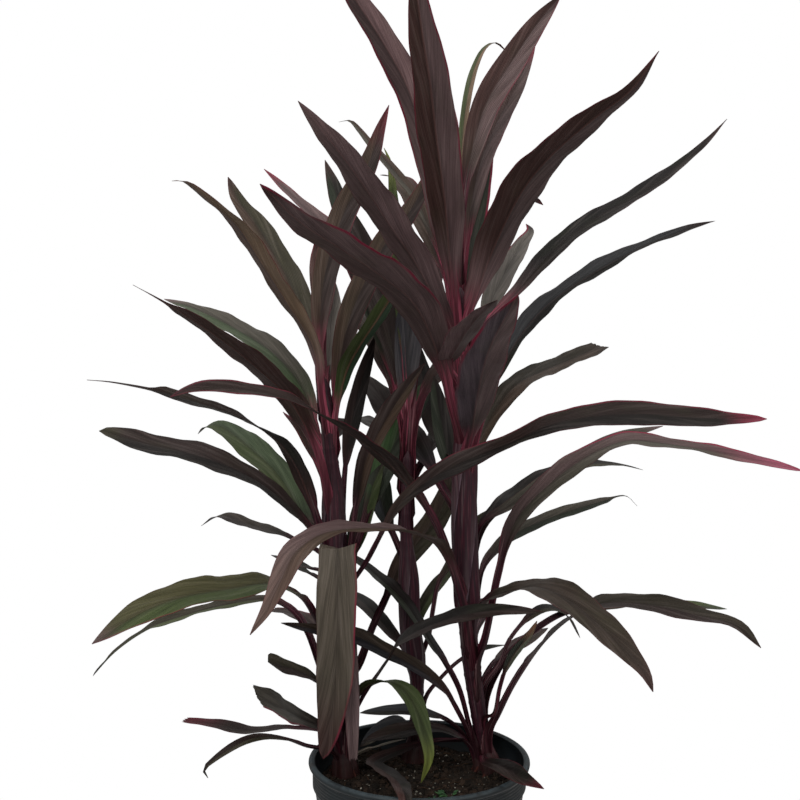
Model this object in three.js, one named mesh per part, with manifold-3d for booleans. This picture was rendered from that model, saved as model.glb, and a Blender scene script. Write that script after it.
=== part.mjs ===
// A potted foliage plant: three leafy canes of one dark red cordyline, standing in the soil of a
// plain nursery pot. Millimetres, +Z up. The origin is the centre of the pot's underside, on the
// surface that the pot stands on, and -Y is the plant's front.

import * as THREE from "three";
import Module from "manifold-3d";
import { mergeVertices } from "three/addons/utils/BufferGeometryUtils.js";

const wasm = await Module();
wasm.setup();
const { degToRad, lerp, smoothstep } = THREE.MathUtils;

// Driving dimensions: a 9 inch nursery pot.
const POT_HEIGHT = 216;
const RIM_RADIUS = 114;
const BASE_RADIUS = 84;
const WALL = 2.2;
const POT_SIDES = 36;

// The pot's lip stands out from the band below it, and the band from the tapering wall.
const LIP = 7;
const LIP_REACH = 3.5;
const LIP_ROUND = 1;
const FOOT_ROUND = 3;
const BAND_RADIUS = RIM_RADIUS - LIP_REACH;
const BAND_FOOT = POT_HEIGHT - 27;
const BAND_STEP = 2.5;

// The soil lies a little below the rim, in low mounds.
const SOIL_LEVEL = POT_HEIGHT - 28;
const SOIL_LUMP = 1.5;
const SOIL_RINGS = 5;
const MOUND_LENGTH = 80;
const FINE_MOUNDS = 0.35;

// The canes stand in plain round holes, and swell into a crown of roots where they leave the soil.
const SOCKET_DEPTH = 90;
const FIT_GAP = 0.35;
const CANE_SIDES = 8;
const CANE_STEP = 42;
const CANE_TAPER = 0.25;
const CROWN_HEIGHT = 34;
const CROWN_SWELL = 7;
const CROWN_FLARE = 2;

// A leaf's petiole is a narrow channel that clasps the cane over the first share of its length.
const PETIOLE_THICKNESS = 3.2;
const PETIOLE_WIDTH = 7.5;
const THIN_PETIOLE_WIDTH = 5;
const PETIOLE_TO_BLADE = 0.45;
const SHEATH_WIDTH = 13;
const SHEATH_SHARE = 0.5;
const PETIOLE_STEPS = 2;

// Its blade is a shallow V of two rippled halves, long and pointed at both ends.
const EDGE_THICKNESS = 0.7;
const MIDRIB_THICKNESS = 1.3;
const TIP_WIDTH = 1.4;
const BASE_TAPER = 0.75;
const TIP_TAPER = 0.8;
const STALK_END = 1 / 3;
const LEAFY_START = 1 / 6;
const FOLD = 0.16;
const WAVE = 0.08;
const WAVE_LENGTH = 85;
const RIPPLE_LAG = 2;
const GOLDEN_ANGLE = 2.39996;
const BLADE_STEPS = 6;
const LONG_BLADE_STEPS = 8;
const LONG_LEAF = 240;
const ARC_DIVISIONS = 400;

// Corners nearer than this are one corner.
const MERGE_DISTANCE = 1e-4;

// The plant's front view is drawn on a board square to the eye's line of sight. The eye is
// in front of the pot and a little above half the plant's height, and looks slightly down.
const EYE = new THREE.Vector3(-20, -1300, 703.7);
const LOOK_DOWN = degToRad(5.21);
const BOARD_DISTANCE = 1296.5;
const BOARD_MIDDLE = 575;

// A point is read off the board as millimetres across and up. Its depth then moves it along the
// line of sight to that place on the Y axis, so it still covers the same spot of the board.
function seen([across, up, depth]) {
  const rise = up - BOARD_MIDDLE;
  const away = BOARD_DISTANCE * Math.cos(LOOK_DOWN) + rise * Math.sin(LOOK_DOWN);
  const drop = BOARD_DISTANCE * Math.sin(LOOK_DOWN) - rise * Math.cos(LOOK_DOWN);
  const reach = (depth - EYE.y) / away;
  return new THREE.Vector3(EYE.x + (across - EYE.x) * reach, depth, EYE.z - drop * reach);
}

// Each cane: its radius, then points of its midline from the soil to the growing tip.
const CANES = {
  right: {
    radius: 10.5,
    path: [
      [67, 206, 36], [62, 240, 36], [51, 315, 34], [46, 395, 32], [44, 525, 30], [42, 600, 30],
      [38, 690, 30],
    ],
  },
  left: {
    radius: 9.5,
    path: [
      [-75, 202, 25], [-80, 255, 25], [-85, 335, 25], [-85, 430, 25], [-87, 485, 25], [-92, 545, 25],
      [-98, 600, 25],
    ],
  },
  back: {
    radius: 8,
    path: [[-7, 215, 62], [-3, 295, 62], [-10, 355, 62], [-12, 405, 62], [-14, 455, 62], [-12, 525, 62]],
  },
};

// A leaf: how high up the board it leaves the cane, the share of its length that is petiole, its
// greatest width, its roll about the midrib at root and tip in degrees, and its midrib's points.
// A leaf that is broken or cut off short keeps only the first share of its blade, in whole. A
// higher taper draws the tip out, and a lower one keeps the blade broad for longer.
function leaf(root, petiole, width, roll, path, whole = 1, taper = TIP_TAPER) {
  return { root, petiole, width, roll, path, whole, taper };
}

const LEAVES = {
  right: {
    crownLeft: leaf(670, 0.2, 36, [-10, -10], [
      [9, 815, 10], [-11, 885, -20], [-38, 935, -55], [-64, 975, -85], [-95, 1025, -125],
    ]),
    crownFront: leaf(655, 0.2, 42, [10, 10], [
      [30, 715, 0], [25, 775, -35], [17, 835, -70], [10, 895, -105], [2, 945, -130], [-8, 1020, -165],
    ]),
    crownThin: leaf(680, 0.3, 9, [0, 0], [
      [43, 760, 75], [44, 850, 115], [50, 883, 135], [58, 910, 155], [69, 929, 170], [79, 932, 182],
      [91, 923, 190],
    ]),
    crownRight: leaf(676, 0.2, 34, [-45, -60], [
      [48, 775, 50], [54, 825, 75], [69, 865, 100], [97, 915, 135], [141, 980, 180],
    ]),
    crownRightBehind: leaf(684, 0.25, 28, [-10, -10], [
      [55, 790, 80], [70, 838, 125], [92, 880, 170], [115, 928, 215],
    ]),
    crownInner: leaf(665, 0.25, 30, [-15, -15], [[55, 755, 80], [65, 805, 120], [75, 850, 165]]),
    upperRight: leaf(648, 0.15, 46, [5, 15], [
      [60, 691, 5], [83, 748, -30], [109, 794, -65], [140, 828, -95], [180, 861, -125], [212, 886, -145],
      [239, 924, -170],
    ], 1, 1.1),
    upperRightSmall: leaf(655, 0.3, 18, [15, 15], [
      [75, 720, 80], [95, 760, 130], [113, 775, 170], [123, 770, 190],
    ]),
    longRight: leaf(620, 0.15, 28, [-20, -20], [
      [60, 642, 40], [95, 681, 70], [140, 731, 110], [180, 759, 135], [220, 782, 155], [280, 827, 180],
      [307, 856, 190],
    ], 1, 1),
    backRight: leaf(630, 0.15, 28, [0, 0], [
      [62, 645, 60], [72, 675, 120], [89, 710, 190], [101, 730, 240], [110, 745, 280], [106, 751, 295],
    ]),
    stalkedRight: leaf(500, 0.25, 36, [0, 0], [
      [60, 543, 10], [79, 601, -25], [99, 638, -55], [128, 671, -90], [160, 694, -115], [185, 709, -130],
      [222, 728, -152], [260, 743, -172], [295, 754, -190],
    ], 1, 0.6),
    cutRight: leaf(470, 0.2, 34, [-10, -10], [
      [60, 535, 80], [91, 585, 125], [123, 604, 175], [158, 618, 225], [180, 629, 255],
    ], 0.75),
    frontSmall: leaf(590, 0.2, 34, [-15, -15], [
      [28, 605, 0], [38, 630, -70], [55, 655, -150], [77, 675, -220],
    ]),
    frontBroad: leaf(520, 0.2, 44, [-10, -10], [
      [50, 533, -5], [58, 583, -90], [70, 628, -180], [98, 680, -270],
    ]),
    upperLeft: leaf(625, 0.12, 42, [0, 0], [
      [15, 675, -15], [-5, 713, -45], [-30, 750, -80], [-60, 795, -125], [-90, 835, -165],
      [-122, 874, -205],
    ]),
    forwardLeft: leaf(570, 0.12, 48, [-10, -10], [
      [20, 620, -25], [-5, 670, -80], [-40, 700, -130], [-80, 727, -180], [-120, 753, -220],
      [-160, 791, -260],
    ]),
    crownLeftBehind: leaf(665, 0.2, 24, [20, 20], [
      [20, 715, 75], [-3, 775, 115], [-20, 797, 135], [-33, 812, 150], [-48, 829, 165], [-60, 844, 180],
      [-70, 854, 190], [-81, 853, 200],
    ]),
    longLeft: leaf(375, 0.2, 36, [-10, -10], [
      [30, 410, 0], [12, 455, -15], [-10, 488, -25], [-40, 520, -60], [-80, 548, -95], [-120, 571, -130],
      [-165, 584, -155], [-205, 587, -172], [-240, 585, -190],
    ]),
    frontArch: leaf(335, 0.25, 36, [0, 10], [
      [42, 367, 0], [21, 427, -45], [0, 440, -80], [-35, 446, -130], [-70, 446, -165], [-100, 440, -190],
      [-125, 422, -210], [-140, 392, -225], [-152, 367, -235], [-170, 340, -245],
    ]),
    hiddenRight: leaf(430, 0.05, 30, [-20, -20], [
      [60, 460, 40], [78, 505, 50], [120, 538, 70], [165, 557, 95],
    ]),
    thinRight: leaf(405, 0.05, 26, [-15, -15], [
      [64, 450, 50], [78, 467, 65], [100, 483, 110], [130, 500, 155], [170, 511, 200], [200, 510, 230],
      [223, 505, 250],
    ]),
    levelRight: leaf(315, 0.2, 38, [-40, -45], [
      [67, 335, 20], [80, 400, 25], [95, 453, 30], [131, 492, 30], [170, 520, 30], [205, 534, 30],
      [240, 532, 25], [320, 518, 15], [383, 504, 5],
    ], 1, 1.3),
    slimRight: leaf(375, 0.05, 24, [-20, -20], [
      [64, 409, 40], [78, 428, 60], [100, 444, 100], [135, 459, 140], [180, 473, 180], [206, 479, 205],
      [217, 469, 215],
    ]),
    droopingRight: leaf(360, 0.04, 42, [-5, -5], [
      [68, 375, 0], [92, 390, -40], [117, 396, -80], [147, 381, -120], [181, 348, -165],
      [209, 320, -200], [226, 299, -220], [233, 283, -230],
    ]),
    lowRight: leaf(245, 0.35, 38, [-12, -12], [
      [80, 261, 20], [95, 291, 0], [125, 334, -40], [152, 358, -65], [180, 371, -90], [230, 370, -115],
      [280, 359, -140], [318, 349, -158], [341, 327, -165],
    ]),
    lowRightBehind: leaf(270, 0.35, 20, [-15, -15], [
      [80, 307, 60], [100, 330, 80], [123, 349, 100], [148, 362, 120], [200, 372, 150], [265, 370, 190],
      [307, 366, 215],
    ]),
    lowRightThin: leaf(285, 0.4, 16, [-20, -20], [
      [80, 310, 50], [90, 335, 65], [120, 365, 95], [145, 361, 120], [160, 337, 135],
    ]),
    lowRightBack: leaf(285, 0.2, 18, [-15, -15], [
      [70, 307, 60], [88, 323, 110], [110, 337, 160], [128, 347, 200],
    ]),
    lowRightFront: leaf(260, 0.4, 20, [0, 0], [
      [75, 260, 10], [80, 285, 0], [88, 310, -30], [97, 325, -50], [108, 338, -70], [117, 354, -90],
    ]),
    lowLeft: leaf(230, 0.2, 24, [25, 35], [
      [37, 263, 0], [20, 290, -35], [-5, 308, -70], [-35, 324, -100], [-63, 338, -120],
      [-103, 345, -145], [-139, 352, -165],
    ]),
    overTheRim: leaf(255, 0.3, 28, [-10, -10], [
      [45, 240, 0], [55, 218, -25], [64, 204, -45], [80, 200, -75], [95, 193, -92], [126, 185, -105],
    ]),
    dryStrap: leaf(242, 0.15, 22, [0, 0], [
      [48, 236, 42], [20, 234, 40], [1, 231, 38], [-30, 221, 38], [-46, 213, 30], [-36, 204, 0],
      [-25, 196, -40], [-20, 190, -75], [-17, 184, -108], [-14, 174, -126], [-12, 150, -134],
      [-11, 128, -136],
    ]),
    overTheSoil: leaf(215, 0.35, 22, [15, 15], [
      [45, 237, 35], [30, 252, 30], [10, 261, 20], [-15, 264, 5], [-60, 262, -20],
    ]),
    broadSoilLeaf: leaf(203, 0.25, 30, [10, 10], [
      [50, 227, 30], [30, 242, 12], [5, 247, 0], [-25, 242, -15], [-58, 233, -30],
    ]),
    backLeft: leaf(455, 0.2, 38, [10, 10], [
      [20, 488, 65], [0, 525, 105], [-20, 550, 150], [-43, 583, 205], [-60, 603, 250],
    ]),
    innerSlate: leaf(475, 0.2, 26, [0, 0], [[31, 507, 75], [24, 540, 84], [18, 571, 90], [14, 599, 94]]),
    innerDark: leaf(495, 0.2, 28, [0, 0], [[20, 535, 120], [8, 575, 185], [0, 610, 230], [-5, 640, 250]]),
    lowerSlate: leaf(233, 0.3, 30, [0, 0], [
      [38, 285, 25], [25, 310, 30], [10, 333, 35], [-2, 353, 38], [-14, 371, 40], [-27, 385, 42],
      [-43, 399, 60], [-63, 415, 80], [-85, 427, 95],
    ]),
    crownBack: leaf(680, 0.2, 36, [0, 0], [
      [30, 760, 95], [25, 830, 160], [20, 880, 220], [18, 900, 270],
    ]),
    crownBackRight: leaf(668, 0.2, 34, [0, 0], [
      [62, 722, 100], [80, 758, 165], [95, 780, 230], [108, 782, 290],
    ]),
    crownBackLeft: leaf(650, 0.2, 34, [0, 0], [
      [20, 715, 110], [0, 765, 175], [-20, 795, 235], [-40, 800, 290],
    ]),
    lowBack: leaf(330, 0.2, 32, [0, 0], [[62, 355, 90], [62, 375, 150], [58, 372, 220], [55, 350, 290]]),
  },
  left: {
    acrossTheFront: leaf(370, 0.35, 29, [-20, -35], [
      [-50, 417, -20], [-37, 442, -45], [-21, 470, -65], [12, 497, -90], [52, 517, -105],
      [92, 533, -115], [130, 550, -120], [170, 558, -125], [220, 561, -125], [275, 557, -125],
      [347, 556, -120],
    ], 1, 0.5),
    upperLeftFront: leaf(575, 0.03, 33, [10, 10], [
      [-106, 627, 0], [-134, 675, -30], [-159, 714, -65], [-183, 750, -100], [-210, 773, -125],
      [-235, 793, -145], [-248, 794, -155],
    ]),
    upperLeft: leaf(590, 0.15, 37, [0, 5], [
      [-105, 635, 45], [-122, 675, 80], [-142, 713, 115], [-164, 750, 150], [-182, 775, 175],
      [-192, 798, 195],
    ]),
    tallRight: leaf(590, 0.2, 36, [15, 20], [
      [-100, 655, 45], [-94, 705, 60], [-77, 760, 78], [-59, 795, 88], [-48, 820, 95], [-40, 845, 100],
      [-31, 870, 105],
    ]),
    tallInner: leaf(560, 0.08, 36, [10, 10], [
      [-79, 620, 40], [-68, 663, 45], [-52, 703, 50], [-36, 737, 55], [-20, 775, 60], [5, 835, 70],
    ]),
    smallInner: leaf(570, 0.2, 24, [0, 0], [[-90, 635, 80], [-86, 695, 150]]),
    tinyTip: leaf(475, 0.3, 12, [0, 0], [[-108, 520, 60], [-120, 545, 90], [-137, 563, 120]]),
    greenInner: leaf(555, 0.03, 28, [15, 15], [
      [-75, 600, 15], [-60, 630, -5], [-40, 660, -15], [-25, 685, -15], [-10, 715, -10],
    ]),
    wideLeft: leaf(495, 0.15, 34, [10, 10], [
      [-104, 535, 60], [-117, 580, 80], [-148, 615, 120], [-190, 641, 175], [-230, 660, 220],
      [-257, 672, 250],
    ]),
    wideLeftFront: leaf(475, 0.15, 38, [-10, -10], [
      [-102, 515, 0], [-114, 547, -5], [-130, 575, -15], [-158, 603, -45], [-195, 633, -80],
      [-235, 660, -110], [-265, 678, -135], [-287, 690, -155],
    ]),
    archedLeft: leaf(420, 0.12, 30, [30, 30], [
      [-102, 450, 5], [-112, 480, -10], [-123, 507, -25], [-138, 530, -45], [-160, 547, -70],
      [-190, 561, -95], [-225, 573, -120], [-260, 583, -145], [-310, 593, -178], [-333, 595, -185],
    ]),
    greenLeft: leaf(430, 0.15, 36, [0, 20], [
      [-117, 467, 50], [-133, 489, 90], [-159, 516, 135], [-184, 537, 180], [-201, 548, 210],
      [-212, 548, 225], [-222, 541, 240],
    ]),
    levelLeft: leaf(435, 0.03, 38, [20, 25], [
      [-108, 447, 20], [-133, 476, 15], [-168, 498, 10], [-218, 518, 5], [-270, 530, 0], [-302, 539, -5],
      [-321, 544, -10],
    ], 1, 0.5),
    thinLeft: leaf(410, 0.2, 24, [0, 0], [
      [-130, 437, 80], [-170, 450, 150], [-200, 459, 210], [-219, 449, 250],
    ]),
    smallLeft: leaf(395, 0.2, 16, [0, 0], [[-115, 408, 70], [-149, 420, 130]]),
    broadLeft: leaf(330, 0.2, 42, [10, 25], [
      [-105, 355, 0], [-120, 378, -35], [-150, 391, -75], [-190, 386, -120], [-240, 377, -165],
      [-280, 361, -200], [-328, 331, -235],
    ]),
    droopingLeft: leaf(280, 0.25, 32, [15, 15], [
      [-102, 310, 35], [-115, 345, 50], [-130, 365, 65], [-152, 375, 85], [-190, 371, 110],
      [-230, 361, 130], [-270, 347, 145], [-305, 323, 155], [-327, 299, 160],
    ], 1, 0.55),
    shortLeft: leaf(320, 0.2, 26, [0, 0], [[-105, 347, 60], [-125, 360, 110], [-150, 365, 160]], 0.8),
    thinLow: leaf(325, 0.3, 8, [0, 0], [[-100, 339, 40], [-120, 346, 70], [-138, 352, 100]]),
    smallLeftLow: leaf(375, 0.4, 10, [0, 0], [[-98, 393, 60], [-117, 405, 100], [-135, 415, 150]]),
    stubLeft: leaf(275, 0.05, 28, [30, 30], [
      [-100, 292, -10], [-128, 306, -60], [-152, 313, -100],
    ], 0.75),
    cutLeft: leaf(240, 0.05, 34, [45, 45], [[-120, 257, -5], [-140, 267, -50], [-163, 278, -90]], 0.75),
    lowLeft: leaf(235, 0.2, 18, [15, 15], [
      [-130, 247, 60], [-170, 244, 100], [-200, 250, 130], [-235, 255, 160],
    ], 0.85),
    lowThin: leaf(222, 0.3, 10, [25, 25], [
      [-115, 229, -10], [-135, 236, -30], [-160, 238, -50], [-180, 232, -65], [-205, 216, -80],
      [-216, 205, -90], [-212, 197, -92],
    ]),
    hangingFront: leaf(405, 0.1, 38, [0, 0], [
      [-80, 428, 0], [-83, 424, -22], [-84, 375, -34], [-82, 325, -28], [-85, 275, -18],
      [-100, 218, -15],
    ]),
    hangingStrip: leaf(345, 0.1, 14, [0, 0], [[-67, 345, 0], [-66, 300, -12], [-68, 215, -20]], 0.8),
    lowRight: leaf(245, 0.12, 24, [-30, -40], [
      [-58, 275, 5], [-44, 297, -5], [-32, 315, -15], [-20, 333, -30], [20, 353, -70], [70, 364, -115],
      [123, 363, -155],
    ]),
    middleRight: leaf(455, 0.15, 30, [-20, -20], [
      [-58, 505, 0], [-45, 535, -5], [-25, 570, -10], [5, 612, -20],
    ]),
    strawStrip: leaf(215, 0.3, 6, [0, 0], [[-60, 222, 34], [-35, 231, 36], [-14, 236, 36]]),
    greenArch: leaf(235, 0.2, 26, [10, 10], [
      [-68, 260, 10], [-58, 285, -5], [-45, 293, -15], [-25, 291, -30], [-8, 275, -45], [3, 245, -60],
      [8, 218, -70], [1, 192, -75],
    ]),
    risingBehind: leaf(290, 0.3, 28, [-15, -15], [
      [-60, 310, 30], [-48, 345, 50], [-35, 375, 70], [-22, 405, 95], [-4, 430, 125], [15, 455, 155],
      [30, 490, 190], [35, 525, 220],
    ]),
    greenBehind: leaf(440, 0.2, 30, [0, 0], [
      [-54, 455, 20], [-40, 500, 50], [-22, 540, 105], [-2, 575, 155], [15, 600, 200],
    ]),
    innerGreen: leaf(435, 0.3, 24, [0, 0], [
      [-68, 455, 30], [-58, 485, 40], [-54, 515, 60], [-50, 545, 85], [-46, 580, 110],
    ]),
    innerDark: leaf(455, 0.25, 30, [0, 0], [
      [-70, 475, 60], [-62, 525, 85], [-56, 565, 105], [-50, 600, 120], [-38, 640, 140],
    ]),
    crownBack: leaf(597, 0.2, 32, [0, 0], [
      [-97, 660, 90], [-96, 710, 150], [-90, 740, 210], [-85, 750, 270],
    ]),
    crownBackLeft: leaf(590, 0.2, 32, [0, 0], [
      [-92, 620, 90], [-95, 645, 150], [-98, 650, 210], [-102, 635, 270],
    ]),
    lowBack: leaf(320, 0.2, 32, [0, 0], [
      [-85, 345, 90], [-88, 365, 150], [-86, 362, 220], [-82, 340, 290],
    ]),
  },
  back: {
    tallLeft: leaf(540, 0.15, 34, [0, 0], [
      [-24, 590, 105], [-50, 678, 145], [-90, 742, 180], [-120, 772, 205], [-156, 806, 235],
    ]),
    tallLeftBehind: leaf(535, 0.15, 30, [0, 0], [[-40, 650, 120], [-72, 745, 190], [-95, 815, 240]]),
    middleLeft: leaf(520, 0.15, 32, [0, 0], [
      [-18, 555, 80], [-21, 580, 90], [-26, 615, 100], [-31, 655, 115], [-30, 730, 145],
    ]),
    middle: leaf(530, 0.15, 30, [0, 0], [[-13, 600, 85], [-10, 660, 105], [-8, 725, 125]]),
    thinTall: leaf(545, 0.2, 13, [0, 0], [
      [-22, 700, 120], [-27, 780, 165], [-31, 815, 185], [-36, 827, 190],
    ]),
    topBack: leaf(545, 0.2, 34, [0, 0], [[-3, 620, 110], [10, 700, 180], [25, 755, 250], [35, 785, 320]]),
    topBackLeft: leaf(530, 0.2, 34, [0, 0], [
      [-32, 600, 120], [-52, 653, 190], [-68, 663, 260], [-80, 650, 330],
    ]),
    topBackRight: leaf(520, 0.2, 34, [0, 0], [
      [5, 580, 120], [35, 622, 180], [62, 640, 250], [82, 636, 320],
    ]),
    backLeft: leaf(495, 0.2, 34, [0, 0], [
      [-22, 530, 115], [-45, 550, 180], [-70, 555, 250], [-85, 535, 320],
    ]),
    slateLeft: leaf(415, 0.2, 28, [0, 0], [
      [-32, 450, 85], [-40, 478, 100], [-44, 505, 120], [-48, 535, 140],
    ]),
    backRight: leaf(480, 0.2, 34, [0, 0], [
      [8, 520, 120], [26, 550, 190], [42, 563, 260], [60, 550, 330],
    ]),
    behindRight: leaf(280, 0.35, 30, [0, 0], [
      [2, 315, 70], [10, 340, 75], [14, 365, 80], [19, 390, 90], [32, 415, 105], [50, 445, 130],
      [70, 475, 160], [93, 505, 195],
    ]),
    oliveRight: leaf(320, 0.1, 18, [0, 0], [
      [-2, 355, 80], [7, 375, 90], [19, 392, 110], [30, 405, 130], [42, 419, 150],
    ]),
    archedLeftLow: leaf(310, 0.1, 24, [0, 0], [
      [-22, 333, 85], [-35, 349, 100], [-49, 365, 120], [-63, 377, 150], [-80, 387, 180],
    ]),
    lowRight: leaf(250, 0.6, 14, [0, 0], [
      [7, 278, 72], [20, 295, 80], [40, 314, 100], [65, 327, 130], [87, 330, 150],
    ]),
    overTheSoil: leaf(228, 0.2, 22, [20, 20], [
      [-12, 252, 40], [-28, 250, 20], [-45, 240, 0], [-60, 228, -15],
    ]),
  },
};

// How much of its greatest width a blade has at a place between its petiole and its tip.
function lanceShape(place, taper) {
  const shape = (value) => value ** BASE_TAPER * (1 - value) ** taper;
  return shape(place) / shape(BASE_TAPER / (BASE_TAPER + taper));
}

// One closed solid from rings of points, each ring with the same number of them. The far half of
// each ring is split into triangles the other way round, so that both faces of a blade agree.
function loft(rings) {
  const sides = rings[0].length;
  const corners = rings.flat().flatMap((point) => point.toArray());
  const faces = [];
  for (let ring = 0; ring + 1 < rings.length; ring += 1) {
    for (let side = 0; side < sides; side += 1) {
      const next = (side + 1) % sides;
      const [a, b] = [ring * sides + side, ring * sides + next];
      const [c, d] = [a + sides, b + sides];
      if (side < sides / 2) {
        faces.push(a, b, d, a, d, c);
      } else {
        faces.push(a, b, c, b, d, c);
      }
    }
  }
  const last = (rings.length - 1) * sides;
  for (let side = 1; side + 1 < sides; side += 1) {
    faces.push(0, side + 1, side);
    faces.push(last, last + side, last + side + 1);
  }
  const geometry = new THREE.BufferGeometry();
  geometry.setAttribute("position", new THREE.Float32BufferAttribute(corners, 3));
  geometry.setIndex(faces);
  return geometry;
}

// The point on a cane's midline that the board shows at a height.
function caneRoot(cane, root) {
  const path = cane.path;
  const after = Math.min(path.length - 1, Math.max(1, path.findIndex((point) => point[1] > root)));
  const [low, high] = [path[after - 1], path[after]];
  const share = (root - low[1]) / (high[1] - low[1]);
  return seen(low.map((value, axis) => lerp(value, high[axis], share)));
}

// The direction straight across a leaf that leaves its cane towards its tip.
function acrossLeaf(curve) {
  const outward = curve.getPoint(1).sub(curve.getPoint(0)).setZ(0).normalize();
  return new THREE.Vector3(outward.y, -outward.x, 0);
}

// Half the width of a leaf: a channel that clasps the cane, then opens into a lance-shaped blade.
function halfWidth(row, share, along) {
  const clasping = 1 - smoothstep(share, 0, row.petiole * SHEATH_SHARE);
  const sheath = lerp(PETIOLE_WIDTH, SHEATH_WIDTH, clasping);
  const stalk = Math.min(sheath, Math.max(row.width * PETIOLE_TO_BLADE, THIN_PETIOLE_WIDTH));
  const blade = row.width * lanceShape(Math.min(1, along * row.whole), row.taper);
  return Math.max(stalk * (1 - smoothstep(along, 0, STALK_END)), blade, TIP_WIDTH) / 2;
}

// The rings of one leaf's section along its midrib: over the top from the left edge to the
// right edge, then back below. The two edges ripple out of step.
function leafRings(cane, row, number) {
  const curve = new THREE.CatmullRomCurve3([caneRoot(cane, row.root), ...row.path.map(seen)]);
  curve.arcLengthDivisions = ARC_DIVISIONS;
  const length = curve.getLength();
  const level = acrossLeaf(curve);
  const bladeSteps = length > LONG_LEAF ? LONG_BLADE_STEPS : BLADE_STEPS;
  const rings = [];
  for (let step = 0; step <= PETIOLE_STEPS + bladeSteps; step += 1) {
    const along = Math.max(0, (step - PETIOLE_STEPS) / bladeSteps);
    const onPetiole = (row.petiole * Math.min(step, PETIOLE_STEPS)) / PETIOLE_STEPS;
    const share = onPetiole + (1 - row.petiole) * along;
    const point = curve.getPointAt(share);
    const forward = curve.getTangentAt(share);
    const side = level.clone().addScaledVector(forward, -level.dot(forward)).normalize();
    side.applyAxisAngle(forward, -degToRad(lerp(row.roll[0], row.roll[1], share)));
    const top = new THREE.Vector3().crossVectors(side, forward);
    const half = halfWidth(row, share, along);
    const leafy = smoothstep(along, 0, LEAFY_START);
    const middle = lerp(PETIOLE_THICKNESS, MIDRIB_THICKNESS, leafy) / 2;
    const edge = lerp(PETIOLE_THICKNESS / 2, EDGE_THICKNESS, leafy) / 2;
    const swing = (share * length * 2 * Math.PI) / WAVE_LENGTH + number * GOLDEN_ANGLE;
    const leftUp = half * (FOLD + WAVE * leafy * Math.sin(swing));
    const rightUp = half * (FOLD + WAVE * leafy * Math.sin(swing + RIPPLE_LAG));
    const at = (across, up) => point.clone().addScaledVector(side, across).addScaledVector(top, up);
    rings.push([
      at(-half, leftUp + edge),
      at(0, middle),
      at(half, rightUp + edge),
      at(half, rightUp - edge),
      at(0, -middle),
      at(-half, leftUp - edge),
    ]);
  }
  return rings;
}

// A level ring of points round a place on a cane.
function caneRing(middle, radius) {
  const ring = [];
  for (let side = 0; side < CANE_SIDES; side += 1) {
    const angle = (side / CANE_SIDES) * 2 * Math.PI;
    ring.push(new THREE.Vector3(Math.cos(angle), Math.sin(angle), 0).multiplyScalar(radius).add(middle));
  }
  return ring;
}

// A cane's rings: a straight foot in the soil, the crown just over it, then the tapering cane.
function caneRings(cane) {
  const curve = new THREE.CatmullRomCurve3(cane.path.map(seen));
  const length = curve.getLength();
  const foot = curve.getPoint(0);
  const ground = SOIL_LEVEL + SOIL_LUMP;
  const rings = [
    caneRing(foot.clone().setZ(SOIL_LEVEL - SOCKET_DEPTH + FIT_GAP), cane.radius),
    caneRing(foot.clone().setZ(ground), cane.radius),
    caneRing(foot.clone().setZ(ground + CROWN_FLARE), cane.radius + CROWN_SWELL),
  ];
  const steps = Math.round(length / CANE_STEP);
  for (let step = 0; step <= steps; step += 1) {
    const share = lerp(CROWN_HEIGHT / length, 1, step / steps);
    rings.push(caneRing(curve.getPointAt(share), cane.radius * (1 - CANE_TAPER * share)));
  }
  return rings;
}

// A closed profile of radius and height, turned about the upright axis.
function lathe(outline) {
  const profile = outline.map(([radius, height]) => new THREE.Vector2(radius, height));
  return new THREE.LatheGeometry(profile, POT_SIDES).rotateX(Math.PI / 2);
}

// The outer radius of the pot's tapering wall at a height below its band.
function wallRadius(height) {
  return lerp(BASE_RADIUS, BAND_RADIUS - BAND_STEP, height / BAND_FOOT);
}

// The pot: a thin wall that tapers to its foot, with a band and a rolled lip at the top.
function potGeometry() {
  const shoulder = wallRadius(BAND_FOOT - BAND_STEP);
  return lathe([
    [0, 0],
    [BASE_RADIUS - FOOT_ROUND, 0],
    [BASE_RADIUS, FOOT_ROUND],
    [shoulder, BAND_FOOT - BAND_STEP],
    [BAND_RADIUS - LIP_ROUND, BAND_FOOT],
    [BAND_RADIUS, POT_HEIGHT - LIP],
    [RIM_RADIUS - LIP_ROUND, POT_HEIGHT - LIP],
    [RIM_RADIUS, POT_HEIGHT - LIP / 2],
    [RIM_RADIUS - LIP_ROUND, POT_HEIGHT - LIP_ROUND / 2],
    [RIM_RADIUS - LIP_REACH, POT_HEIGHT],
    [BAND_RADIUS - WALL, POT_HEIGHT - LIP_ROUND],
    [BAND_RADIUS - LIP_ROUND - WALL, BAND_FOOT],
    [shoulder - WALL, BAND_FOOT - BAND_STEP],
    [BASE_RADIUS - WALL, WALL],
    [0, WALL],
  ]);
}

// The soil's low mounds: two crossed waves, with a finer wave aslant over them.
function moundHeight(x, y) {
  const turn = (2 * Math.PI) / MOUND_LENGTH;
  const broad = Math.sin(x * turn) * Math.cos(y * turn);
  const fine = Math.sin((x - y) * turn * 2);
  return SOIL_LUMP * lerp(broad, fine, FINE_MOUNDS);
}

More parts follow.
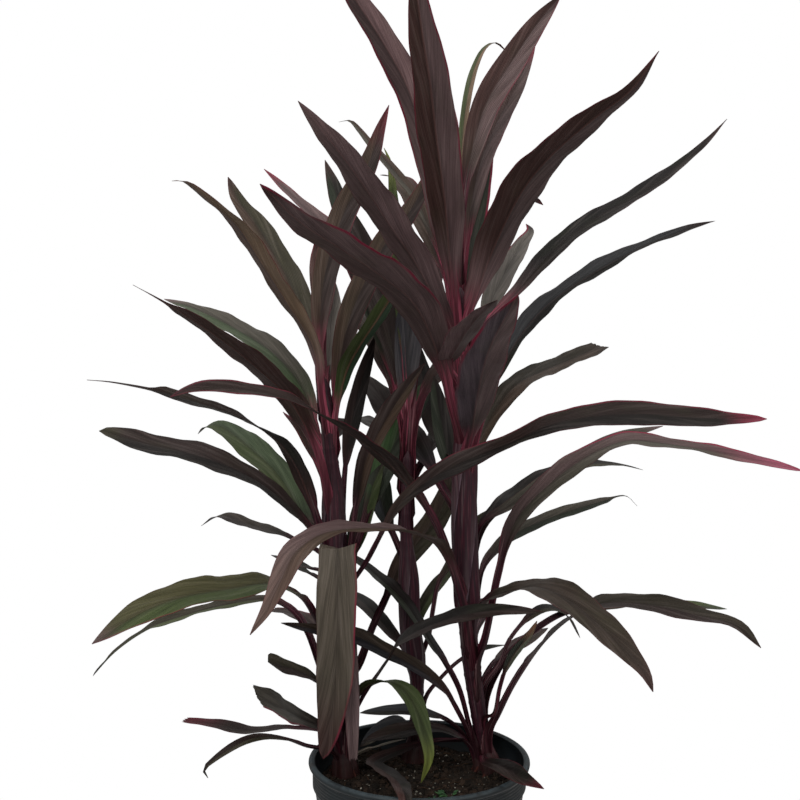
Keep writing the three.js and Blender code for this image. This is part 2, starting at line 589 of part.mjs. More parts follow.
function soilGeometry() {
  const inset = WALL + FIT_GAP * 1.5;
  const edge = wallRadius(SOIL_LEVEL) - inset;
  const outline = [
    [0, WALL + FIT_GAP],
    [BASE_RADIUS - inset, WALL + FIT_GAP],
    [edge, SOIL_LEVEL - SOIL_LUMP * 2],
  ];
  for (let ring = 0; ring <= SOIL_RINGS; ring += 1) {
    outline.push([edge * (1 - ring / SOIL_RINGS), SOIL_LEVEL]);
  }
  const geometry = lathe(outline);
  const places = geometry.getAttribute("position");
  for (let index = 0; index < places.count; index += 1) {
    const [x, y, z] = [places.getX(index), places.getY(index), places.getZ(index)];
    if (z > SOIL_LEVEL - SOIL_LUMP) {
      places.setZ(index, z + moundHeight(x, y));
    }
  }
  return geometry;
}

function solidOf(geometry) {
  const bare = geometry.clone();
  bare.deleteAttribute("normal");
  bare.deleteAttribute("uv");
  const merged = mergeVertices(bare, MERGE_DISTANCE);
  const vertProperties = new Float32Array(merged.getAttribute("position").array);
  const triVerts = new Uint32Array(merged.getIndex().array);
  return new wasm.Manifold(new wasm.Mesh({ numProp: 3, vertProperties, triVerts }));
}

function geometryOf(solid) {
  const mesh = solid.getMesh();
  const geometry = new THREE.BufferGeometry();
  geometry.setAttribute("position", new THREE.BufferAttribute(mesh.vertProperties, 3));
  geometry.setIndex(new THREE.BufferAttribute(mesh.triVerts, 1));
  geometry.computeVertexNormals();
  return geometry;
}

// The soil, with a plain round hole for the foot of each cane.
function soilWithHoles() {
  const top = SOIL_LEVEL + SOIL_LUMP * 2;
  const bottom = SOIL_LEVEL - SOCKET_DEPTH;
  let soil = solidOf(soilGeometry());
  for (const cane of Object.values(CANES)) {
    const foot = seen(cane.path[0]);
    const radius = cane.radius + FIT_GAP;
    const hole = new THREE.CylinderGeometry(radius, radius, top - bottom, CANE_SIDES * 2);
    hole.rotateX(Math.PI / 2);
    hole.translate(foot.x, foot.y, (top + bottom) / 2);
    soil = soil.subtract(solidOf(hole));
  }
  return geometryOf(soil);
}

// A cane with its leaves grown together into one solid.
function leafyCane(name) {
  const cane = CANES[name];
  let solid = solidOf(loft(caneRings(cane)));
  Object.values(LEAVES[name]).forEach((row, number) => {
    solid = solid.add(solidOf(loft(leafRings(cane, row, number))));
  });
  return geometryOf(solid);
}

const PLASTIC = new THREE.MeshStandardMaterial({ color: 0x1f2626, roughness: 0.55, metalness: 0 });
const SOIL = new THREE.MeshStandardMaterial({ color: 0x2a201a, roughness: 1, metalness: 0 });
const FOLIAGE = new THREE.MeshStandardMaterial({ color: 0x44292f, roughness: 0.5, metalness: 0 });

function piece(name, geometry, material) {
  const mesh = new THREE.Mesh(geometry, material);
  mesh.name = name;
  return mesh;
}

const plant = new THREE.Group();
plant.add(piece("pot", geometryOf(solidOf(potGeometry())), PLASTIC));
plant.add(piece("soil", soilWithHoles(), SOIL));
for (const name of Object.keys(CANES)) {
  plant.add(piece("leafy_cane_" + name, leafyCane(name), FOLIAGE));
}

export default plant;
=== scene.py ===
"""The looks of a potted cordyline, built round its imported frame.

Lengths are millimetres until a mesh is made, and MM turns them into Blender's metres.
"""

import math

import bpy
import numpy as np
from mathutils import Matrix, Vector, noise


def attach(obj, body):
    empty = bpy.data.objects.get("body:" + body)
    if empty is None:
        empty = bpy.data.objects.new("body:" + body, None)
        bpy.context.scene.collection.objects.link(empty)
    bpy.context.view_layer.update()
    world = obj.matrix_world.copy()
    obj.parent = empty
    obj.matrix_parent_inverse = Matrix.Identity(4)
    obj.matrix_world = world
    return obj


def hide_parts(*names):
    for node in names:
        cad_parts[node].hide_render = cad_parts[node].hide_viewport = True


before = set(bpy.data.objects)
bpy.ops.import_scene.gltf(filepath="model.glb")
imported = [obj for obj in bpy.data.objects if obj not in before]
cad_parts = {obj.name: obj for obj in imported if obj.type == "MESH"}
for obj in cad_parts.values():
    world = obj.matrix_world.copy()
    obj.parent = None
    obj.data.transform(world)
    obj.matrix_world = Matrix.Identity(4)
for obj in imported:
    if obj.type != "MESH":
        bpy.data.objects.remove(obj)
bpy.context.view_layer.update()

MM = 0.001
TURN = 2 * math.pi
GOLDEN_ANGLE = 2.39996
GOLDEN_SHARE = 0.618

# The pot and the soil, as in the frame.
POT_HEIGHT = 216
RIM_RADIUS = 114
BASE_RADIUS = 84
WALL = 2.2
LIP = 7
LIP_REACH = 3.5
FOOT_ROUND = 3
BAND_RADIUS = RIM_RADIUS - LIP_REACH
BAND_FOOT = POT_HEIGHT - 27
BAND_STEP = 2.5
POT_SIDES = 160
SOIL_LEVEL = POT_HEIGHT - 28
SOIL_LUMP = 1.5
MOUND_LENGTH = 80
FINE_MOUNDS = 0.35

# The pot's base is slightly hollow, its band has fine turned lines, and its wall is not quite round.
BASE_HOLLOW = 0.6
BASE_RING = (14, 12)
BAND_INSET = 0.6
BAND_LINES = 6
BAND_GROOVE = 0.35
INNER_HEIGHTS = (SOIL_LEVEL - 12, 60)
AXIS_GAP = 0.5
WAVER = 0.25

# The canes stand in the soil and swell into a crown of roots where they leave it.
CANE_SIDES = 48
CANE_STEP = 2.5
CANE_SUNK = 20
CANE_TAPER = 0.25
CANE_FOOT = 0.82
CANE_TIP = 14
CANE_POINT = 0.97
CANE_LOBES = 0.25
# Lobes round a cane: their count, the height over which they turn, and their share.
LOBES = ((5, 40, 1), (8, -23, 0.6))
CROWN_HEIGHT = 34
CROWN_SWELL = 7
CROWN_LOBES = 0.12

# Old leaf scars ring the canes, old sheaths wrap them, and roots spread from their crowns.
SCAR_SPACING = 15
SCAR_DEPTH = 0.5
SHEATHS = 3
SHEATH_TURN = 150
SHEATH_BULK = 3.5
SHEATH_STEP = 2.5
SHEATH_EASE = 40
ROOT_SEED = 5
ROOTS = 13
ROOT_START = 0.6
ROOT_REACH = (9, 19)
ROOT_BEND = 2
ROOT_RISE = (7, 18)
ROOT_DIP = 1.8
ROOT_THICK = (1.7, 2.9)
ROOT_END = 0.7

# A leaf's petiole is a narrow channel that clasps the cane over the first share of its length.
PETIOLE_TO_BLADE = 0.28
PETIOLE_WIDTHS = (4.5, 10.5)
SHEATH_SWELL = 1.0
SHEATH_SHARE = 0.75
CLASP = 46
CLASP_REACH = (0.4, 1.1)
CLASP_NARROW = 0.4
CLASP_FADE = 0.04
CLASP_LAYERS = 5
CLASP_LAYER = 0.5

# Its blade is a shallow V of two rippled halves, long and pointed at both ends.
TIP_WIDTH = 0.7
BASE_TAPER = 0.75
TIP_TAPER = 0.8
STALK_END = 1 / 3
LEAFY_START = 1 / 6
FOLD = 0.16
FOLD_ROUND = 0.09
CHANNEL = 0.75
WAVE = 0.08
WAVE_LENGTH = 85
RIPPLE_LAG = 2
FRILL = 0.025
FRILL_LENGTH = 31
PLEAT = 0.14
PLEAT_LENGTH = 7.5
PLEAT_DRIFT = 60
PLEATED = (1.0, 5.0)
TWIST_LIMIT = 1.4
TWIST_SHARE = 0.1
TAIL_FADE = 0.07
NO_TAIL = (1.1, 1)
ROUND_END = 0.12
RAGGED = 3
TORN_FROM = 0.93
TEETH = (9, 23)

# The places of a leaf's mesh rows and columns, and how thick it is there.
LEAF_STEP = 6.5
PETIOLE_ROWS = 5
BLADE_ROWS = (16, 60)
BROAD_LEAF = 24
COLUMNS = (0, 0.05, 0.12, 0.22, 0.34, 0.46, 0.58, 0.70, 0.82, 0.92, 0.975, 1)
COLUMNS_NARROW = (0, 0.1, 0.3, 0.55, 0.8, 0.95, 1)
BLADE_THICKNESS = 0.55
EDGE_THICKNESS = 0.35
STALK_THICKNESS = 2.4
STALK_EDGE = 0.9
TIP_THINNING = 0.6
THIN_FROM = 0.9
RIDGE = 0.7
GROOVE = 0.25
RIDGE_WIDTH = 1.1
RIDGE_FADE = 0.55

# The plant's front view is drawn on a board square to the eye's line of sight.
EYE = (-20, -1300, 703.7)
LOOK_DOWN = math.radians(5.21)
BOARD_DISTANCE = 1296.5
BOARD_MIDDLE = 575
PHOTO_WIDTH = 800
SENSOR = 36
NEAREST_SEEN = 50

# The soil follows the pot's wall, and is strewn with crumbs, grit, fibres and small weeds.
SOIL_SIDES = 220
SOIL_RINGS = 74
SOIL_GAP = 0.4
SOIL_SHOULDER = 8
SOIL_EYE = 0.0002
CLOD_LENGTH = 14
CLOD_HEIGHT = 1.6
CRUMB_LENGTH = 5
CRUMB_HEIGHT = 2.2
SETTLED = 1.2
CRUMBS = 900
GRIT = 380
CLEAR_OF_CANES = 12
GRAIN_ROUGHNESS = 0.18
GRAIN_STRETCH = (0.7, 1.25)
GRAIN_SHOWN = 0.25
BALL_CAP = 0.12
FIBRE_SEED = 11
FIBRES = 70
FIBRE_LENGTH = (6, 26)
FIBRE_BEND = 0.9
FIBRE_THICK = (0.25, 0.6)
FIBRE_LIFT = 0.5
FIBRE_ARCH = 1.6
SEEDLING_SEED = 23
SEEDLING_SPREAD = 2.2
SEEDLING_LEAN = (0.5, 1.1)
SEEDLING_REACH = (0.8, 1.6)
SEEDLING_STALK = 0.3
SEEDLING_LEAF = (0.55, 0.4)
# Each seedling's place from left to right and from front to back, its count of leaves and their size.
SEEDLINGS = (
    (22, -42, 7, 5.5), (30, -38, 6, 5.0), (13, -47, 4, 3.5), (-72, -58, 5, 3.5), (38, -50, 3, 3.0),
)


def linear(code):
    """A colour as a shader holds it, from its six-digit screen code."""
    screen = np.array([int(code[at:at + 2], 16) / 255 for at in (0, 2, 4)])
    return np.where(screen <= 0.04045, screen / 12.92, ((screen + 0.055) / 1.055) ** 2.4)


# Tones of the leaves. dusk, a paler pinkish grey, is painted light on leaves that the lamps leave shaded.
TONES = {name: linear(code) for name, code in {
    "wine": "48322f", "plum": "5e4c4c", "lilac": "584c54", "ink": "1c1817", "umber": "2e2220",
    "cocoa": "48392f", "taupe": "67524a", "tan": "705843", "olive": "3c382a", "moss": "505a38",
    "green": "344c2a", "forest": "2c3328", "slate": "484b50", "ash": "56524a", "lime": "8f9a4c",
    "rust": "96623a", "crimson": "6a2030", "rose": "96344e", "straw": "968e80", "maroon": "34161c",
    "stalk": "3c1826", "blush": "763646", "loam": "382e26", "mauve": "6c595a", "silver": "64666a",
    "dusk": "846e70", "fawn": "8c7662", "pale": "a88a8c", "coal": "0e0b0c", "fern": "44502e",
    "sage": "4c5a42", "peat": "2c261c", "dove": "86807a", "stone": "645c52", "night": "2c2b30",
    "jade": "36523a", "drab": "504e34", "flush": "ae5c74",
}.items()}
GREY_VEIL = linear("6c6462")
GREEN_VEIL = linear("3c4630")
# DARK_AND_GROOVE_SHADE darkens the margins and a band beside the midrib, and is painted shade in the
# midrib's groove.
DARK_AND_GROOVE_SHADE = linear("1c1412")
RIB_PINK = linear("66423c")
RIM_RED = linear("8e2040")
STALK_PINK = linear("b2566c")
STALK_PALE = linear("a88a8c")

# How far the leaves' tones reach along and across them, and how much shows of each colour over them.
HALVES_MEET = 0.08
BASE_FADE = 0.3
BASE_SHARE = 0.8
STALK_FADE = 0.16
STALK_FLUSH = {"stalk": 0.2, "blush": 0.8, "straw": 0.0}
RIB_TINT = 1.5
RIB_TINT_FADE = 0.7
RED_AT_BASE = 0.35
RED_FROM = (0.15, 0.5)
VEIL_SHARE = 0.36
GREEN_SHARE = 0.25
VEIN_SLANT = 0.12
VEIN_SPACING = 1.6
LEAF_SHIFT = 37.0
SIDE_SHIFT = 13.0
LEAF_ROUGH = (0.36, 0.52)
LEAF_SPECULAR = 0.16
RIM_WIDTHS = (1.0, 3.2)
EARTHY = (45.0, 5.0)
PALE_LIP_DEPTH = 4

# Colours of the canes, the roots, the pot and what lies in it.
CANE_RED = linear("421a28")
CANE_PURPLE = linear("33222a")
CANE_PINK = linear("74404c")
CANE_GREY = linear("6e5c60")
# CANE_SCAR_AND_SHADE is the leaf scars' colour, and also painted shade under the sheaths' overlapping
# edges.
CANE_SCAR_AND_SHADE = linear("24131a")
CANE_SLATE = linear("40343e")
CANE_HEM = linear("7c6674")
ROOT_BROWN = linear("35201a")
ROOT_RED = linear("4c2620")
POT_DARK = linear("0e1418")
POT_GREEN = linear("151e23")
POT_DUST = linear("242f35")
# POT_DUST_AND_HIGHLIGHT pales the top of the lip: dust, and a painted highlight.
POT_DUST_AND_HIGHLIGHT = linear("3a464c")
SOIL_DARK = linear("1c1815")
SOIL_BROWN = linear("3a3028")
SOIL_RED = linear("40332a")
GRIT_GREY = linear("5a564e")
GRIT_WHITE = linear("b8b4a8")
FIBRE_DARK = linear("2a1c16")
FIBRE_PALE = linear("54402f")
SEEDLING_DARK = linear("26482c")
SEEDLING_PALE = linear("4c7448")

# Soft light, mostly from above. Each lamp's place and size are in metres, and its power in watts.
SKY_SPAN = (-0.4, 1.0)
SKY_STRENGTH = (0.26, 0.6)
SKY_TINT = np.array([1.0, 0.975, 0.945])
WHITE = np.ones(3)
LIGHTS = (
    ("top_light", (0.0, -0.4, 2.4), 1.8, 13, (1.0, 0.985, 0.96)),
    ("front_fill", (-0.8, -1.8, 1.9), 1.6, 18, (1.0, 0.98, 0.95)),
    ("side_fill", (1.6, -1.2, 1.3), 1.4, 5, (1.0, 0.98, 0.95)),
)
LIGHT_AIM = (0, 0, 0.5)
FLOOR_TONE = np.full(3, 0.9)
FLOOR_FADE = (300, 430)
FLOOR_RADIUS = 450
FLOOR_SIDES = 96
FLOOR_DROP = 0.3

# Each cane: its radius, the heights between which sheaths wrap it, and points of its midline on the
# board, from the soil to the growing tip.
CANES = {
    "right": {
        "radius": 10.5,
        "sheathed": (190, 345),
        "path": [
            [67, 206, 36], [62, 240, 36], [51, 315, 34], [46, 395, 32], [44, 525, 30], [42, 600, 30],
            [38, 690, 30],
        ],
    },
    "left": {
        "radius": 9.5,
        "sheathed": (150, 300),
        "path": [
            [-75, 202, 25], [-80, 255, 25], [-85, 335, 25], [-85, 430, 25], [-87, 485, 25],
            [-92, 545, 25], [-98, 600, 25],
        ],
    },
    "back": {
        "radius": 8,
        "sheathed": (120, 210),
        "path": [
            [-7, 215, 62], [-3, 295, 62], [-10, 355, 62], [-12, 405, 62], [-14, 455, 62], [-12, 525, 62],
        ],
    },
}


def leaf(root, petiole, width, roll, tones, red, path, whole=1, tip_start=0.88, stalk="stalk", rib=None,
         taper=TIP_TAPER, tail=NO_TAIL, ragged=RAGGED):
    """One leaf's row.

    root is the height on the board at which it leaves the cane, petiole the share of its length
    that is petiole, and roll its roll in degrees at even steps from root to tip. The tones are
    those of its base, left half, right half and tip, and red is how red its left and right margins
    are. The path is its midrib's points on the board, each with a depth. whole is how much of the
    blade is left where it is broken or cut off, and ragged how uneven that end is, 0 for a round
    one. From tip_start on the blade takes its tip's tone. A higher taper draws the tip out, and
    tail is where it thins to a tail and the share of its width left there.
    """
    return {
        "root": root, "petiole": petiole, "width": width, "roll": roll, "tones": tones.split(),
        "red": red, "path": path, "whole": whole, "tip_start": tip_start, "stalk": stalk, "rib": rib,
        "taper": taper, "tail": tail, "ragged": ragged,
    }


RIGHT_LEAVES = {
    "crown_left": leaf(670, 0.08, 36, [-10], "wine pale mauve crimson", (0.2, 1), [
        [9, 815, 10], [-11, 885, -20], [-38, 935, -55], [-64, 975, -85], [-95, 1025, -125],
    ], stalk="blush"),
    "crown_front": leaf(655, 0.05, 42, [10], "dusk mauve wine plum", (0.6, 0.5), [
        [30, 715, 0], [25, 775, -35], [17, 835, -70], [10, 895, -105], [2, 945, -130], [-8, 1020, -165],
    ], stalk="blush"),
    "crown_thin": leaf(680, 0.3, 10, [0], "lime moss fawn crimson", (0, 0.2), [
        [40, 770, 80], [42, 830, 108], [46, 868, 128], [54, 905, 152], [65, 927, 168], [76, 932, 180],
        [88, 922, 188],
    ], stalk="blush"),
    "crown_right": leaf(676, 0.28, 31, [-45, -60], "olive wine plum maroon", (0.2, 0.4), [
        [38, 730, 40], [43, 780, 55], [52, 825, 72], [66, 871, 98], [94, 917, 130], [117, 951, 155],
        [141, 980, 180],
    ]),
    "crown_right_behind": leaf(684, 0.12, 28, [-10], "forest wine plum rose", (0.2, 0.4), [
        [55, 790, 80], [70, 838, 125], [92, 880, 170], [115, 928, 215],
    ], stalk="blush"),
    "crown_inner": leaf(665, 0.04, 28, [-30, -40], "ash ash forest wine", (0, 0.9), [
        [50, 730, 60], [56, 775, 88], [64, 820, 118], [69, 862, 150],
    ]),
    "upper_right": leaf(648, 0.02, 46, [5, 15], "pale plum wine wine", (0.1, 0.5), [
        [60, 691, 5], [83, 748, -30], [109, 794, -65], [140, 828, -95], [180, 861, -125], [212, 886, -145],
        [239, 924, -170],
    ], stalk="blush", taper=1.1),
    "upper_right_small": leaf(655, 0.3, 18, [15], "wine wine wine rose", (0.3, 0.4), [
        [75, 720, 80], [95, 760, 130], [113, 775, 170], [123, 770, 190],
    ], stalk="blush"),
    "long_right": leaf(620, 0.1, 28, [-20], "plum coal ink wine", (0.1, 0.2), [
        [60, 642, 40], [95, 681, 70], [140, 731, 110], [180, 759, 135], [220, 782, 155], [280, 827, 180],
        [307, 856, 190],
    ], stalk="blush", taper=1),
    "back_right": leaf(630, 0.1, 28, [0], "ash dove dove umber", (0.9, 0.2), [
        [62, 645, 60], [72, 675, 120], [89, 710, 190], [101, 730, 240], [110, 745, 280], [106, 751, 295],
    ], stalk="blush"),
    "stalked_right": leaf(500, 0.2, 36, [0], "olive ink silver wine", (0.3, 0.1), [
        [60, 543, 10], [79, 601, -25], [99, 638, -55], [128, 671, -90], [160, 694, -115], [185, 709, -130],
        [222, 728, -152], [260, 743, -172], [295, 754, -190],
    ], stalk="blush", taper=0.6),
    "cut_right": leaf(470, 0.1, 34, [-10], "cocoa peat cocoa loam", (0, 0), [
        [60, 535, 80], [91, 585, 125], [123, 604, 175], [158, 618, 225], [180, 629, 255],
    ], whole=0.75, ragged=1.5),
    "front_small": leaf(590, 0.06, 34, [-15], "wine mauve dusk umber", (0.3, 0.4), [
        [28, 605, 0], [38, 630, -70], [55, 655, -150], [77, 675, -220],
    ], stalk="blush"),
    "front_broad": leaf(520, 0.06, 44, [-10], "umber mauve lilac wine", (0.6, 1), [
        [50, 533, -5], [58, 583, -90], [70, 628, -180], [98, 680, -270],
    ], stalk="blush"),
    "upper_left": leaf(625, 0.03, 42, [0], "umber dusk mauve pale", (0.2, 0.3), [
        [15, 675, -15], [-5, 713, -45], [-30, 750, -80], [-60, 795, -125], [-90, 835, -165],
        [-122, 874, -205],
    ], tip_start=0.75, stalk="blush"),
    "forward_left": leaf(535, 0.14, 48, [-10], "umber mauve plum maroon", (1, 0.5), [
        [30, 572, -5], [21, 612, -24], [-5, 670, -80], [-40, 700, -130], [-80, 727, -180],
        [-120, 753, -220], [-160, 791, -260],
    ], stalk="blush"),
    "crown_left_behind": leaf(665, 0.2, 12, [20], "wine ash cocoa olive", (0.1, 0.1), [
        [20, 715, 75], [-3, 775, 115], [-20, 797, 135], [-33, 812, 150], [-48, 829, 165], [-60, 844, 180],
        [-70, 854, 190], [-81, 853, 200],
    ], stalk="blush"),
    "long_left": leaf(375, 0.24, 36, [-10, -10, -10, -5, 10, 25, 35],
        "wine umber umber maroon", (0.6, 0.6), [
        [30, 410, 0], [12, 455, -15], [-10, 488, -25], [-40, 520, -60], [-80, 548, -95], [-120, 571, -130],
        [-165, 584, -155], [-210, 588, -175], [-232, 585, -187], [-250, 578, -196],
    ]),
    "front_arch": leaf(335, 0.2, 36, [0, 10], "wine cocoa plum taupe", (0.25, 0.15), [
        [42, 367, 0], [21, 427, -45], [0, 440, -80], [-35, 446, -130], [-70, 446, -165], [-100, 440, -190],
        [-125, 422, -210], [-140, 392, -225], [-152, 367, -235], [-170, 340, -245],
    ], tip_start=0.66),
    "hidden_right": leaf(430, 0.05, 18, [-25, -45], "umber ash ash dusk", (0.2, 0.2), [
        [62, 450, 40], [90, 470, 45], [130, 497, 50], [165, 521, 60], [200, 538, 80], [243, 549, 100],
    ]),
    "thin_right": leaf(405, 0.05, 26, [-15], "ink ink olive ink", (0, 0), [
        [64, 450, 50], [78, 467, 65], [100, 483, 110], [130, 500, 155], [170, 511, 200], [200, 510, 230],
        [223, 505, 250],
    ]),
    "level_right": leaf(315, 0.2, 34, [-38, -42, -48, -50, -44, -32, -14, -14, -22, -42],
        "umber plum ash flush", (0.9, 0.3), [
        [67, 335, 20], [80, 400, 25], [95, 453, 30], [131, 492, 30], [170, 520, 30], [205, 534, 30],
        [240, 532, 25], [320, 518, 15], [383, 504, 5],
    ], tip_start=0.72, taper=0.75),
    "slim_right": leaf(375, 0.05, 20, [-20], "plum ash forest ink", (0, 0), [
        [64, 409, 40], [78, 428, 60], [100, 444, 100], [135, 459, 140], [180, 473, 180], [206, 479, 205],
        [217, 469, 215],
    ], tail=(0.86, 0.25)),
    "drooping_right": leaf(360, 0.04, 42, [-42, -38, -18, -6, -5, -5],
        "forest loam loam wine", (0.2, 0.2), [
        [68, 375, 0], [92, 384, -40], [117, 388, -80], [147, 376, -120], [181, 348, -165], [209, 320, -200],
        [226, 299, -220], [233, 283, -230],
    ]),
    "low_right": leaf(245, 0.24, 38, [-12], "wine peat umber peat", (0.1, 0.2), [
        [80, 261, 20], [95, 291, 0], [125, 334, -40], [152, 358, -65], [180, 371, -90], [230, 370, -115],
        [280, 359, -140], [318, 349, -158], [341, 327, -165],
    ]),
    "low_right_behind": leaf(270, 0.35, 30, [-15], "wine moss olive sage", (0, 0), [
        [80, 307, 60], [100, 330, 80], [123, 349, 100], [148, 362, 120], [200, 372, 150], [265, 370, 190],
        [307, 366, 215],
    ], tip_start=0.8),
    "low_right_thin": leaf(285, 0.4, 16, [-20], "wine ink olive ink", (0, 0), [
        [80, 310, 50], [90, 335, 65], [120, 365, 95], [145, 361, 120], [160, 337, 135],
    ]),
    "low_right_back": leaf(285, 0.2, 18, [-15], "wine plum cocoa umber", (0.1, 0.3), [
        [70, 307, 60], [88, 323, 110], [110, 337, 160], [128, 347, 200],
    ]),
    "low_right_front": leaf(260, 0.4, 12, [0], "wine moss forest rust", (0, 0), [
        [75, 260, 10], [80, 285, 0], [88, 310, -30], [97, 325, -50], [108, 338, -70], [117, 354, -90],
    ], tip_start=0.6),
    "low_left": leaf(230, 0.2, 24, [25, 35], "wine night loam umber", (0, 0), [
        [37, 263, 15], [20, 290, 8], [-5, 308, 2], [-35, 324, -3], [-63, 338, -7], [-103, 345, -10],
        [-139, 352, -12],
    ]),
    "over_the_rim": leaf(222, 0.12, 22, [-20], "umber ink umber crimson", (0.3, 0.3), [
        [64, 214, 0], [76, 211, -30], [89, 205, -60], [105, 195, -90], [124, 186, -110],
    ], tip_start=0.8),
    "dry_strap": leaf(242, 0.15, 22, [0], "umber ink wine umber", (0, 0), [
        [48, 236, 42], [20, 234, 40], [1, 231, 38], [-30, 221, 38], [-46, 213, 30], [-36, 204, 0],
        [-25, 196, -40], [-20, 190, -75], [-17, 184, -108], [-14, 174, -126], [-12, 150, -134],
        [-11, 128, -136],
    ]),
    "over_the_soil": leaf(215, 0.35, 22, [15], "umber ink slate ash", (0, 0), [
        [45, 237, 35], [30, 252, 30], [10, 261, 20], [-15, 264, 5], [-60, 262, -20],
    ]),
    "broad_soil_leaf": leaf(203, 0.25, 30, [10], "ink ink umber ink", (0, 0), [
        [50, 227, 30], [30, 242, 12], [5, 247, 0], [-25, 242, -15], [-58, 233, -30],
    ]),
    "back_left": leaf(455, 0.2, 38, [10], "slate umber umber umber", (0, 0), [
        [20, 488, 65], [0, 525, 105], [-20, 550, 150], [-43, 583, 205], [-60, 603, 250],
    ]),
    "inner_slate": leaf(475, 0.2, 26, [0], "forest forest ink umber", (0, 0), [
        [31, 507, 75], [24, 540, 84], [18, 571, 90], [14, 599, 94],
    ]),
    "inner_dark": leaf(495, 0.2, 28, [0], "forest umber ink umber", (0, 0), [
        [20, 535, 120], [8, 575, 185], [0, 610, 230], [-5, 640, 250],
    ]),
    "lower_slate": leaf(233, 0.3, 30, [0], "slate forest ink ink", (0, 0), [
        [38, 285, 25], [25, 310, 30], [10, 333, 35], [-2, 353, 38], [-14, 371, 40], [-27, 385, 42],
        [-43, 399, 60], [-63, 415, 80], [-85, 427, 95],
    ]),
    "crown_back": leaf(680, 0.08, 36, [0], "wine wine plum crimson", (0.5, 0.5), [
        [30, 760, 95], [25, 830, 160], [20, 880, 220], [18, 900, 270],
    ], stalk="blush"),
    "crown_back_right": leaf(668, 0.2, 34, [0], "wine wine plum crimson", (0.5, 0.5), [
        [62, 722, 100], [80, 758, 165], [95, 780, 230], [108, 782, 290],
    ], stalk="blush"),
    "crown_back_left": leaf(650, 0.2, 34, [0], "wine cocoa wine crimson", (0.5, 0.5), [
        [20, 715, 110], [0, 765, 175], [-20, 795, 235], [-40, 800, 290],
    ], stalk="blush"),
    "low_back": leaf(330, 0.2, 32, [0], "wine olive cocoa wine", (0.4, 0.4), [
        [62, 355, 90], [62, 375, 150], [58, 372, 220], [55, 350, 290],
    ]),
}

